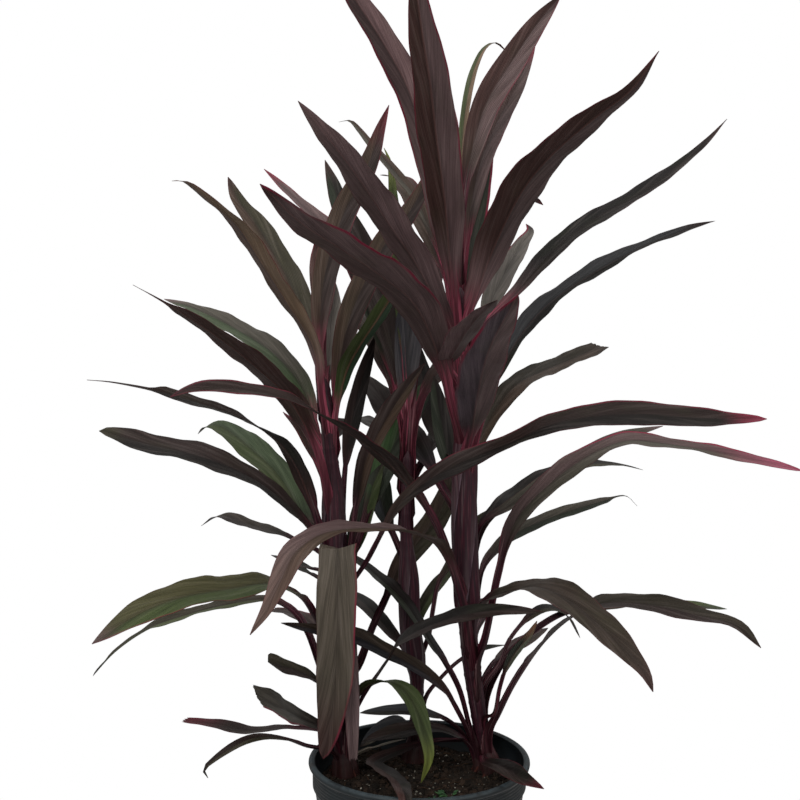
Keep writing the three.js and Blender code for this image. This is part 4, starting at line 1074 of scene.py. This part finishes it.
def make_roots():
    """Brown roots that spread from each cane's crown into the soil."""
    draw = np.random.default_rng(ROOT_SEED)
    heap = Heap()
    steps = np.linspace(0, 1, 9)
    for cane in CANES.values():
        foot = seen(cane["path"][:1])[0]
        for number in range(ROOTS):
            turn = (number + draw.uniform(-0.3, 0.3)) / ROOTS * TURN
            away = np.array([math.cos(turn), math.sin(turn)])
            beside = np.array([-away[1], away[0]])
            across = cane["radius"] * ROOT_START + draw.uniform(*ROOT_REACH) * steps
            bend = np.sin(steps * 3) * draw.normal(0, ROOT_BEND)
            places = foot[:2] + np.outer(across, away) + np.outer(bend, beside)
            ground = np.array([soil_height(x, y) for x, y in places])
            rise = draw.uniform(*ROOT_RISE) * (1 - steps) ** 1.8
            middle = np.column_stack([places, ground + rise - ROOT_DIP * steps])
            thick = mix(draw.uniform(*ROOT_THICK), ROOT_END, steps)
            heap.add_strand(middle, thick[:, None], 8, draw.random())
    return heap.build("root_crowns")


# Pot and soil.

def wall_radius(height):
    """The pot's outer radius below its band."""
    return mix(BASE_RADIUS, BAND_RADIUS - BAND_STEP, height / BAND_FOOT)


def make_pot():
    """A thin tapered wall, under a band with turned lines and a rounded lip."""
    shoulder = BAND_FOOT - BAND_STEP
    outline = [(AXIS_GAP, BASE_HOLLOW), (BASE_RADIUS - BASE_RING[0], BASE_HOLLOW)]
    outline += [(BASE_RADIUS - BASE_RING[1], 0)]
    outline += arc((BASE_RADIUS - FOOT_ROUND, FOOT_ROUND), FOOT_ROUND, -90, 0, 6)
    for height in mix(FOOT_ROUND, shoulder, np.linspace(0.02, 1, 24)):
        outline.append((wall_radius(height), height))
    outline += [(wall_radius(shoulder) + 0.6, BAND_FOOT - 1.6), (BAND_RADIUS - 1.2, BAND_FOOT - 0.6)]
    for step in range(BAND_LINES * 4 + 1):
        height = mix(BAND_FOOT, POT_HEIGHT - LIP - 1, step / (BAND_LINES * 4))
        groove = BAND_GROOVE * (step % 4 == 2)
        outline.append((BAND_RADIUS - BAND_INSET - groove, height))
    lip = LIP / 2
    outline += arc((RIM_RADIUS - lip, POT_HEIGHT - lip), lip, -100, 150, 14)
    inside = [(BAND_RADIUS, POT_HEIGHT - lip), (BAND_RADIUS - 1, BAND_FOOT)]
    inside += [(wall_radius(height), height) for height in (shoulder, *INNER_HEIGHTS)]
    inside += [(BASE_RADIUS, WALL), (AXIS_GAP + WALL, WALL)]
    outline += [(radius - WALL, height) for radius, height in inside]
    points, faces = lathe(outline, POT_SIDES)
    angle = np.arctan2(points[:, 1], points[:, 0])
    waver = WAVER * np.sin(3 * angle + points[:, 2] / 50) * smooth(points[:, 2], 20, 180)
    points[:, :2] *= (1 + waver / RIM_RADIUS)[:, None]
    return build("pot_body", points, faces, smooth_below=45)


def soil_height(x, y):
    """The soil's low mounds, as in the frame, with crumbs and small hollows over them."""
    turn = TURN / MOUND_LENGTH
    broad = math.sin(x * turn) * math.cos(y * turn)
    fine = math.sin((x - y) * turn * 2)
    spot = Vector((x, y, 0))
    clods = noise.fractal(spot / CLOD_LENGTH, 0.9, 2.1, 4) * CLOD_HEIGHT
    crumbs = abs(noise.noise(spot / CRUMB_LENGTH)) * CRUMB_HEIGHT
    return SOIL_LEVEL + SOIL_LUMP * mix(broad, fine, FINE_MOUNDS) + clods + crumbs - SETTLED


def make_soil():
    """The bed of soil: its sides follow the pot's inner wall, and its top has low mounds."""
    inset = WALL + SOIL_GAP
    sides = [(BASE_RADIUS, inset), (wall_radius(SOIL_LEVEL - SOIL_SHOULDER), SOIL_LEVEL - SOIL_SHOULDER)]
    spread = np.sqrt(np.linspace(SOIL_EYE, 1, SOIL_RINGS))[::-1]
    outline = [(radius - inset, height) for radius, height in sides]
    outline += [((wall_radius(SOIL_LEVEL) - inset) * share, SOIL_LEVEL) for share in spread]
    points, faces = lathe(outline, SOIL_SIDES)
    for point in points[len(sides) * SOIL_SIDES:]:
        point[2] = soil_height(point[0], point[1])
    return build("soil_bed", points, faces)


def soil_spots(draw, count, margin, clear):
    """Seeded places on the soil, clear of the pot's wall and of the canes."""
    feet = [seen(cane["path"][:1])[0][:2] for cane in CANES.values()]
    reach = wall_radius(SOIL_LEVEL) - WALL - margin
    spots = []
    while len(spots) < count:
        radius = reach * math.sqrt(draw.random())
        turn = draw.random() * TURN
        spot = np.array([radius * math.cos(turn), radius * math.sin(turn)])
        if min(np.linalg.norm(spot - foot) for foot in feet) > clear:
            spots.append(spot)
    return spots


def ball(rows):
    """A unit sphere of rings of points, from the top down, with small flat ends."""
    polar = np.linspace(BALL_CAP, math.pi - BALL_CAP, rows)
    points, faces = lathe(np.stack([np.sin(polar), np.cos(polar)], axis=-1), rows * 2)
    return points, faces[:, ::-1]


def scatter_grains(name, count, sizes, seed, flatness, margin):
    """Rough grains, lying in the soil's surface, each with its own tone."""
    draw = np.random.default_rng(seed)
    unit_points, faces = ball(5)
    heap = Heap()
    for spot in soil_spots(draw, count, margin, CLEAR_OF_CANES):
        size = mix(*sizes, draw.random() ** 2.5)
        rough = 1 + draw.normal(0, GRAIN_ROUGHNESS, len(unit_points))
        stretch = draw.uniform(*GRAIN_STRETCH, 3) * [1, 1, flatness]
        turn = draw.random() * TURN
        along, beside = [math.cos(turn), math.sin(turn), 0], [-math.sin(turn), math.cos(turn), 0]
        points = unit_points * rough[:, None] * stretch * size @ np.array([along, beside, [0, 0, 1]])
        height = soil_height(*spot) + size * GRAIN_SHOWN
        heap.add_grain(points + [*spot, height], faces, draw.random())
    return heap.build(name, smooth_below=30)


def make_fibres():
    """Thin dry roots and bark fibres that lie on the soil."""
    draw = np.random.default_rng(FIBRE_SEED)
    heap = Heap()
    steps = np.linspace(0, 1, 7)
    for spot in soil_spots(draw, FIBRES, margin=12, clear=14):
        length = draw.uniform(*FIBRE_LENGTH)
        heading = draw.random() * TURN + draw.normal(0, FIBRE_BEND) * steps
        pace = np.stack([np.cos(heading), np.sin(heading)], axis=-1) * length / len(steps)
        places = np.cumsum(pace, axis=0)
        places = places - places.mean(axis=0) + spot
        if np.linalg.norm(places, axis=1).max() >= wall_radius(SOIL_LEVEL) - WALL - 3:
            continue
        heights = []
        for (x, y), step in zip(places, steps):
            arch = FIBRE_ARCH * math.sin(math.pi * step) * (draw.random() < 0.9)
            heights.append(soil_height(x, y) + FIBRE_LIFT + arch)
        middle = np.column_stack([places, heights])
        heap.add_strand(middle, draw.uniform(*FIBRE_THICK), 6, draw.random())
    return heap.build("soil_fibres")


def make_seedlings():
    """Small green weeds that have sprouted in the soil, each a few round leaves on thin stalks."""
    draw = np.random.default_rng(SEEDLING_SEED)
    heap = Heap()
    disc, faces = ball(6)
    for x, y, leaves, size in SEEDLINGS:
        for number in range(leaves):
            turn = number * GOLDEN_ANGLE + draw.uniform(-0.3, 0.3)
            lean = draw.uniform(*SEEDLING_LEAN)
            away = unit(np.array([math.cos(turn) * lean, math.sin(turn) * lean, 1.0]))
            reach = size * draw.uniform(*SEEDLING_REACH)
            foot = np.array([x, y, 0.0])
            foot[:2] += draw.normal(0, SEEDLING_SPREAD, 2)
            foot[2] = soil_height(foot[0], foot[1]) - 1
            stalk = foot + away * reach * np.linspace(0, 1, 5)[:, None]
            heap.add_strand(stalk, SEEDLING_STALK, 5, 0.2)
            along = unit(away * [1, 1, 0.25])
            beside = unit(np.cross([0, 0, 1.0], along))
            spin = np.stack([along, beside, np.cross(along, beside)])
            long, wide = (size * share for share in SEEDLING_LEAF)
            blade = (disc * [long, wide, 0.35]) @ spin
            heap.add_grain(blade + stalk[-1] + along * size * 0.35, faces, draw.random())
    return heap.build("seedlings")


# Materials.

class Value:
    """What a shader's node gives. Each sum, product or quotient of values adds one Math node."""

    def __init__(self, shader, socket):
        self.shader, self.socket = shader, socket

    def __add__(self, other):
        return self.shader.math("ADD", self, other)

    def __sub__(self, other):
        return self.shader.math("SUBTRACT", self, other)

    def __rsub__(self, other):
        return self.shader.math("SUBTRACT", other, self)

    def __mul__(self, other):
        return self.shader.math("MULTIPLY", self, other)

    def __truediv__(self, other):
        return self.shader.math("DIVIDE", self, other)


class Shader:
    """Builds the nodes of a material or world: each call adds one node and returns its value."""

    def __init__(self, owner, surface="Principled BSDF"):
        owner.use_nodes = True
        self.owner = owner
        self.tree = owner.node_tree
        self.surface = self.tree.nodes[surface]

    def node(self, kind, inputs=(), output=0, **settings):
        """Adds a node, sets it up, feeds its inputs and returns one of its outputs."""
        node = self.tree.nodes.new("ShaderNode" + kind)
        for key, value in settings.items():
            setattr(node, key, value)
        for key, value in dict(inputs).items():
            self.feed(node.inputs[key], value)
        return Value(self, node.outputs[output])

    def feed(self, socket, value):
        """Links a value to a socket, or sets a number or colour on it."""
        if isinstance(value, Value):
            self.tree.links.new(value.socket, socket)
        elif isinstance(value, np.ndarray):
            socket.default_value = (*value, 1.0)
        else:
            socket.default_value = value

    def math(self, operation, first, second=0.0):
        return self.node("Math", {0: first, 1: second}, operation=operation)

    def mark(self, name, part="Vector"):
        """Reads a named value of the mesh."""
        return self.node("Attribute", output=part, attribute_name=name)

    def place(self):
        """The place of the point that is shaded, in metres."""
        return self.node("NewGeometry", output="Position")

    def parts(self, vector):
        """The three numbers of a vector."""
        node = self.tree.nodes.new("ShaderNodeSeparateXYZ")
        self.feed(node.inputs[0], vector)
        return [Value(self, socket) for socket in node.outputs]

    def join(self, x, y, z):
        return self.node("CombineXYZ", {0: x, 1: y, 2: z})

    def noise(self, place, scale=1.0, detail=3.0, roughness=0.55):
        """Soft noise, read at a vector or at three numbers."""
        place = place if isinstance(place, Value) else self.join(*place)
        inputs = {"Vector": place, "Scale": scale, "Detail": detail, "Roughness": roughness}
        return self.node("TexNoise", inputs)

    def span(self, value, low, high, to_low=0.0, to_high=1.0):
        """Maps a value from one span to another, smoothly and without leaving it."""
        inputs = {"Value": value, 1: low, 2: high, 3: to_low, 4: to_high}
        return self.node("MapRange", inputs, interpolation_type="SMOOTHSTEP")

    def blend(self, share, first, second, how="MIX"):
        """Mixes two colours by a share. Inputs 6 and 7 and output 2 are the node's colours."""
        inputs = {0: share, 6: first, 7: second}
        return self.node("Mix", inputs, output=2, data_type="RGBA", blend_type=how)

    def shade(self, colour, light):
        """Makes a colour darker or lighter by a factor."""
        return self.blend(1.0, colour, self.join(light, light, light), "MULTIPLY")

    def bump(self, height, distance, strength=1.0):
        """Gives the surface a fine relief, whose height of 1 stands for a distance."""
        inputs = {"Height": height, "Distance": distance * MM, "Strength": strength}
        self.feed(self.surface.inputs["Normal"], self.node("Bump", inputs))

    def set(self, **values):
        """Feeds the surface's inputs by their names, and returns the material or world."""
        for key, value in values.items():
            self.feed(self.surface.inputs[key.replace("_", " ").title().replace("Ior", "IOR")], value)
        return self.owner


def new_material(name):
    """The shader of a new material."""
    return Shader(bpy.data.materials.new(name))


def leaf_material():
    """Satin leaf: its own tone, long streaks, fine slanting veins, a red rim, a midrib that is pinker
    beneath, and painted shade along its groove on the upper face.

    Noise is read at a place across the blade, one along it and one that differs from leaf to leaf,
    so its pattern is drawn out along the blade.
    """
    make = new_material("foliage")
    tone, under, flushed = make.mark("tone"), make.mark("under", "Fac"), make.mark("flush", "Fac")
    across, run, seed = make.parts(make.mark("veins"))
    edge, red, stalk = make.parts(make.mark("rims"))
    inward = make.math("ABSOLUTE", across)
    slant = inward - run * VEIN_SLANT
    side = make.math("SIGN", across) * SIDE_SHIFT
    shift = seed * LEAF_SHIFT + side
    broad = make.noise((slant * 0.22, run * 0.011, shift))
    streaks = make.noise((slant * 0.85, run * 0.016, shift), detail=4.0, roughness=0.65)
    fine = make.noise((slant * 2.6, run * 0.03, shift), detail=2.0)
    patches = make.noise((across * 0.05, run * 0.02, shift))

    veil = make.span(broad, 0.45, 0.72) * VEIL_SHARE
    colour = make.blend(veil, tone, make.blend(0.5, tone, GREY_VEIL))
    green = make.span(patches, 0.5, 0.72) * GREEN_SHARE
    colour = make.blend(green, colour, make.blend(0.6, tone, GREEN_VEIL))
    light = make.span(streaks, 0.3, 0.72, 0.76, 1.24) + make.span(fine, 0.35, 0.7, -0.07, 0.07)
    colour = make.shade(colour, light * make.span(broad, 0.3, 0.7, 0.8, 1.22))

    rib = make.span(inward, 1.5, 0.5) * (1.0 - stalk)
    # The upper face darkens along the midrib, where it is a groove: painted shade. Beneath, the midrib is
    # pinker.
    colour = make.blend(rib * (0.4 - under * 0.4), colour, DARK_AND_GROOVE_SHADE)
    colour = make.blend(rib * (under * 0.35), colour, RIB_PINK)
    beside_rib = make.span(inward, 5.0, 1.6) * make.span(inward, 0.9, 1.6)
    colour = make.blend(beside_rib * 0.3, colour, DARK_AND_GROOVE_SHADE)

    wander = (patches - 0.5) * 1.6
    reach = make.span(red, 0.2, 1.0, *RIM_WIDTHS)
    rim = make.span((edge + wander) / reach, 1.0, 0.35)
    stretch = make.noise((side, run * 0.013, shift), detail=1.0)
    rim = rim * make.span(stretch, 0.36, 0.56, 0.25, 1.0)
    colour = make.blend(rim * red, colour, RIM_RED)
    colour = make.blend(make.span(edge, 0.7, 0.2) * 0.35, colour, DARK_AND_GROOVE_SHADE)

    strand = make.noise((across * 0.8, run * 0.01, shift))
    flush = stalk * make.span(strand, 0.48, 0.68) * flushed
    colour = make.blend(flush, colour, STALK_PINK)
    pale = make.noise((across * 1.3, run * 0.009, shift + 9.0), detail=2.0)
    pale = stalk * make.span(pale, 0.6, 0.7)
    colour = make.blend(pale * 0.5, colour, STALK_PALE)

    vein = make.math("SINE", slant * (TURN / VEIN_SPACING))
    make.bump(vein * 0.3 + streaks, 0.35, 0.7)
    gloss = make.span(patches, 0.3, 0.7, *LEAF_ROUGH)
    return make.set(base_color=colour, roughness=gloss, specular_ior_level=LEAF_SPECULAR)


def cane_material():
    """Deep red cane with purple and grey sheath streaks, brown and earthy at its crown."""
    make = new_material("cane_bark")
    x, y, height = make.parts(make.mark("turn"))
    earth, wrapped = make.mark("earth", "Fac"), make.mark("wrapped", "Fac")
    streaks = make.noise((x * 3.0, y * 3.0, height * 0.012), 1.6, 4.0, 0.6)
    fine = make.noise((x * 9.0, y * 9.0, height * 0.03))
    worn = make.noise((y * 4.0, x * 4.0, height * 0.009), 1.3)
    colour = make.blend(make.span(streaks, 0.35, 0.68), CANE_RED, CANE_PURPLE)
    colour = make.blend(make.span(fine, 0.52, 0.7) * 0.6, colour, CANE_PINK)
    colour = make.blend(make.span(worn, 0.55, 0.7) * 0.7, colour, CANE_GREY)
    ring = make.math("ABSOLUTE", make.math("FRACT", height / SCAR_SPACING) - 0.5)
    ring = make.span(ring, 0.46, 0.5) * (1.0 - wrapped)
    colour = make.blend(ring * 0.25, colour, CANE_SCAR_AND_SHADE)

    turned = make.math("ARCTAN2", y, x) * (SHEATHS / TURN)
    wrap = make.math("FRACT", turned + height / SHEATH_TURN)
    slate = make.blend(make.span(streaks, 0.4, 0.6), CANE_SLATE, CANE_GREY)
    colour = make.blend(make.span(wrap, 0.0, 0.5, 0.6, 0.0) * wrapped, colour, slate)
    hem = make.span(wrap, 0.06, 0.02) * wrapped * make.span(streaks, 0.35, 0.6)
    colour = make.blend(hem * 0.7, colour, CANE_HEM)
    # Painted shade under the edge of the sheath that wraps over this one, in the scar colour.
    shade = make.span(wrap, 0.85, 1.0) * wrapped
    colour = make.blend(shade * 0.8, colour, CANE_SCAR_AND_SHADE)
    low = make.math("MAXIMUM", make.span(height, *EARTHY), earth)
    colour = make.blend(low * 0.75, colour, ROOT_BROWN)
    make.bump(streaks + fine, 0.5, 0.6)
    return make.set(base_color=colour, roughness=0.5, specular_ior_level=0.3)


def pot_material():
    """Dusty dark grey-green moulded plastic, with fine turned lines, and a paler lip top that is dust and
    painted highlight.
    """
    make = new_material("pot_plastic")
    place = make.place()
    x, y, z = make.parts(place)
    dust = make.noise(place, 38.0, 5.0, 0.65)
    blotch = make.noise(place, 9.0)
    bands = make.noise((x * 2.0, y * 2.0, z * 420.0), detail=2.0)
    colour = make.blend(make.span(blotch, 0.35, 0.7), POT_DARK, POT_GREEN)
    colour = make.blend(make.span(dust, 0.45, 0.8) * 0.5, colour, POT_DUST)
    colour = make.blend(make.span(bands, 0.5, 0.7) * 0.25, colour, POT_DUST)
    # The top of the lip is paler in patches: dust, and a painted highlight where light falls on it.
    rim = make.span(z, (POT_HEIGHT - PALE_LIP_DEPTH) * MM, POT_HEIGHT * MM)
    colour = make.blend(rim * make.span(dust, 0.35, 0.6), colour, POT_DUST_AND_HIGHLIGHT)
    make.bump(bands + dust * 0.6, 0.3, 0.5)
    gloss = make.span(dust, 0.3, 0.7, 0.38, 0.62)
    return make.set(base_color=colour, roughness=gloss, specular_ior_level=0.45)


def soil_material():
    """Dark peaty soil with paler clods and redder patches."""
    make = new_material("soil")
    place = make.place()
    clods = make.noise(place, 120.0, 6.0, 0.7)
    damp = make.noise(place, 22.0, 4.0)
    colour = make.blend(make.span(clods, 0.35, 0.7), SOIL_DARK, SOIL_BROWN)
    colour = make.blend(make.span(damp, 0.5, 0.75) * 0.5, colour, SOIL_RED)
    make.bump(clods, 1.2, 0.9)
    return make.set(base_color=colour, roughness=0.9, specular_ior_level=0.2)


def grain_material(name, dark, pale, rough):
    """Grains whose own value picks a tone between two, with a fine mottle."""
    make = new_material(name)
    mottle = make.noise(make.place(), 420.0)
    colour = make.blend(make.mark("grain", "Fac"), dark, pale)
    colour = make.shade(colour, make.span(mottle, 0.3, 0.7, 0.7, 1.25))
    make.bump(mottle, 0.3, 0.6)
    return make.set(base_color=colour, roughness=rough, specular_ior_level=0.25)


def floor_material():
    """A pale floor that fades out, so that it has no edge."""
    make = new_material("studio_floor")
    x, y, _ = make.parts(make.place())
    reach = make.math("SQRT", x * x + y * y)
    near, far = (edge * MM for edge in FLOOR_FADE)
    return make.set(base_color=FLOOR_TONE, roughness=0.8, alpha=make.span(reach, near, far, 1.0, 0.0))


# Stage.

def make_camera():
    """A camera at the photo's viewing angle, whose view is as wide as the board."""
    camera = bpy.data.objects.new("camera", bpy.data.cameras.new("camera"))
    camera.location = [value * MM for value in EYE]
    camera.rotation_euler = (math.pi / 2 - LOOK_DOWN, 0, 0)
    camera.data.sensor_width = SENSOR
    camera.data.lens = BOARD_DISTANCE * SENSOR / PHOTO_WIDTH
    camera.data.clip_start = NEAREST_SEEN * MM
    bpy.context.scene.collection.objects.link(camera)
    bpy.context.scene.camera = camera


def make_light(name, place, size, power, tint):
    """A round soft light that points at the plant."""
    light = bpy.data.lights.new(name, "AREA")
    light.shape = "DISK"
    light.size = size
    light.energy = power
    light.color = tint
    thing = bpy.data.objects.new(name, light)
    thing.location = place
    aim = Vector(LIGHT_AIM) - Vector(place)
    thing.rotation_euler = aim.to_track_quat("-Z", "Y").to_euler()
    bpy.context.scene.collection.objects.link(thing)


def make_world():
    """White behind the plant, and softer light on it that comes mostly from above."""
    world = bpy.data.worlds.new("studio")
    bpy.context.scene.world = world
    make = Shader(world, "Background")
    height = make.parts(make.node("TexCoord", output="Generated"))[2]
    sky = make.span(height, *SKY_SPAN, *SKY_STRENGTH)
    behind = make.node("LightPath", output="Is Camera Ray")
    strength = make.node("Mix", {0: behind, 2: sky, 3: 1.0})
    make.set(strength=strength, color=make.blend(behind, SKY_TINT, WHITE))


def make_stage():
    """The camera, the lights and a pale round floor."""
    bpy.context.scene.view_settings.view_transform = "Standard"
    make_camera()
    make_world()
    for light in LIGHTS:
        make_light(*light)
    points, _ = lathe([(FLOOR_RADIUS, -FLOOR_DROP)], FLOOR_SIDES)
    floor = build("studio_floor", points, end_cap(0, FLOOR_SIDES)[:, ::-1])
    floor.data.materials.append(floor_material())


def dress(piece, material, slot, *nodes):
    """Gives a piece its material and its place in the frame."""
    piece.data.materials.clear()
    piece.data.materials.append(material)
    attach(piece, "root")
    if nodes:
        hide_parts(*nodes)


def main():
    """Makes the stage and every piece. The foliage and the bark are shared by all three canes."""
    make_stage()
    foliage, bark = leaf_material(), cane_material()
    for name in CANES:
        dress(leaves_of(name), foliage, "foliage", "leafy_cane_" + name)
        dress(cane_of(name), bark, "foliage")
    dress(make_roots(), grain_material("root_bark", ROOT_BROWN, ROOT_RED, 0.8), "foliage")
    dress(make_pot(), pot_material(), "pot_plastic", "pot")
    dress(make_soil(), soil_material(), "soil", "soil")
    crumbs = scatter_grains("soil_crumbs", CRUMBS, sizes=(1.0, 4.2), seed=3, flatness=0.8, margin=3)
    dress(crumbs, grain_material("crumbs", SOIL_DARK, SOIL_RED, 0.95), "soil")
    grit = scatter_grains("pale_grit", GRIT, sizes=(0.4, 1.3), seed=7, flatness=0.9, margin=4)
    dress(grit, grain_material("perlite", GRIT_GREY, GRIT_WHITE, 0.8), "soil")
    dress(make_fibres(), grain_material("fibre", FIBRE_DARK, FIBRE_PALE, 0.85), "soil")
    green = grain_material("seedling_green", SEEDLING_DARK, SEEDLING_PALE, 0.5)
    dress(make_seedlings(), green, "foliage")


main()
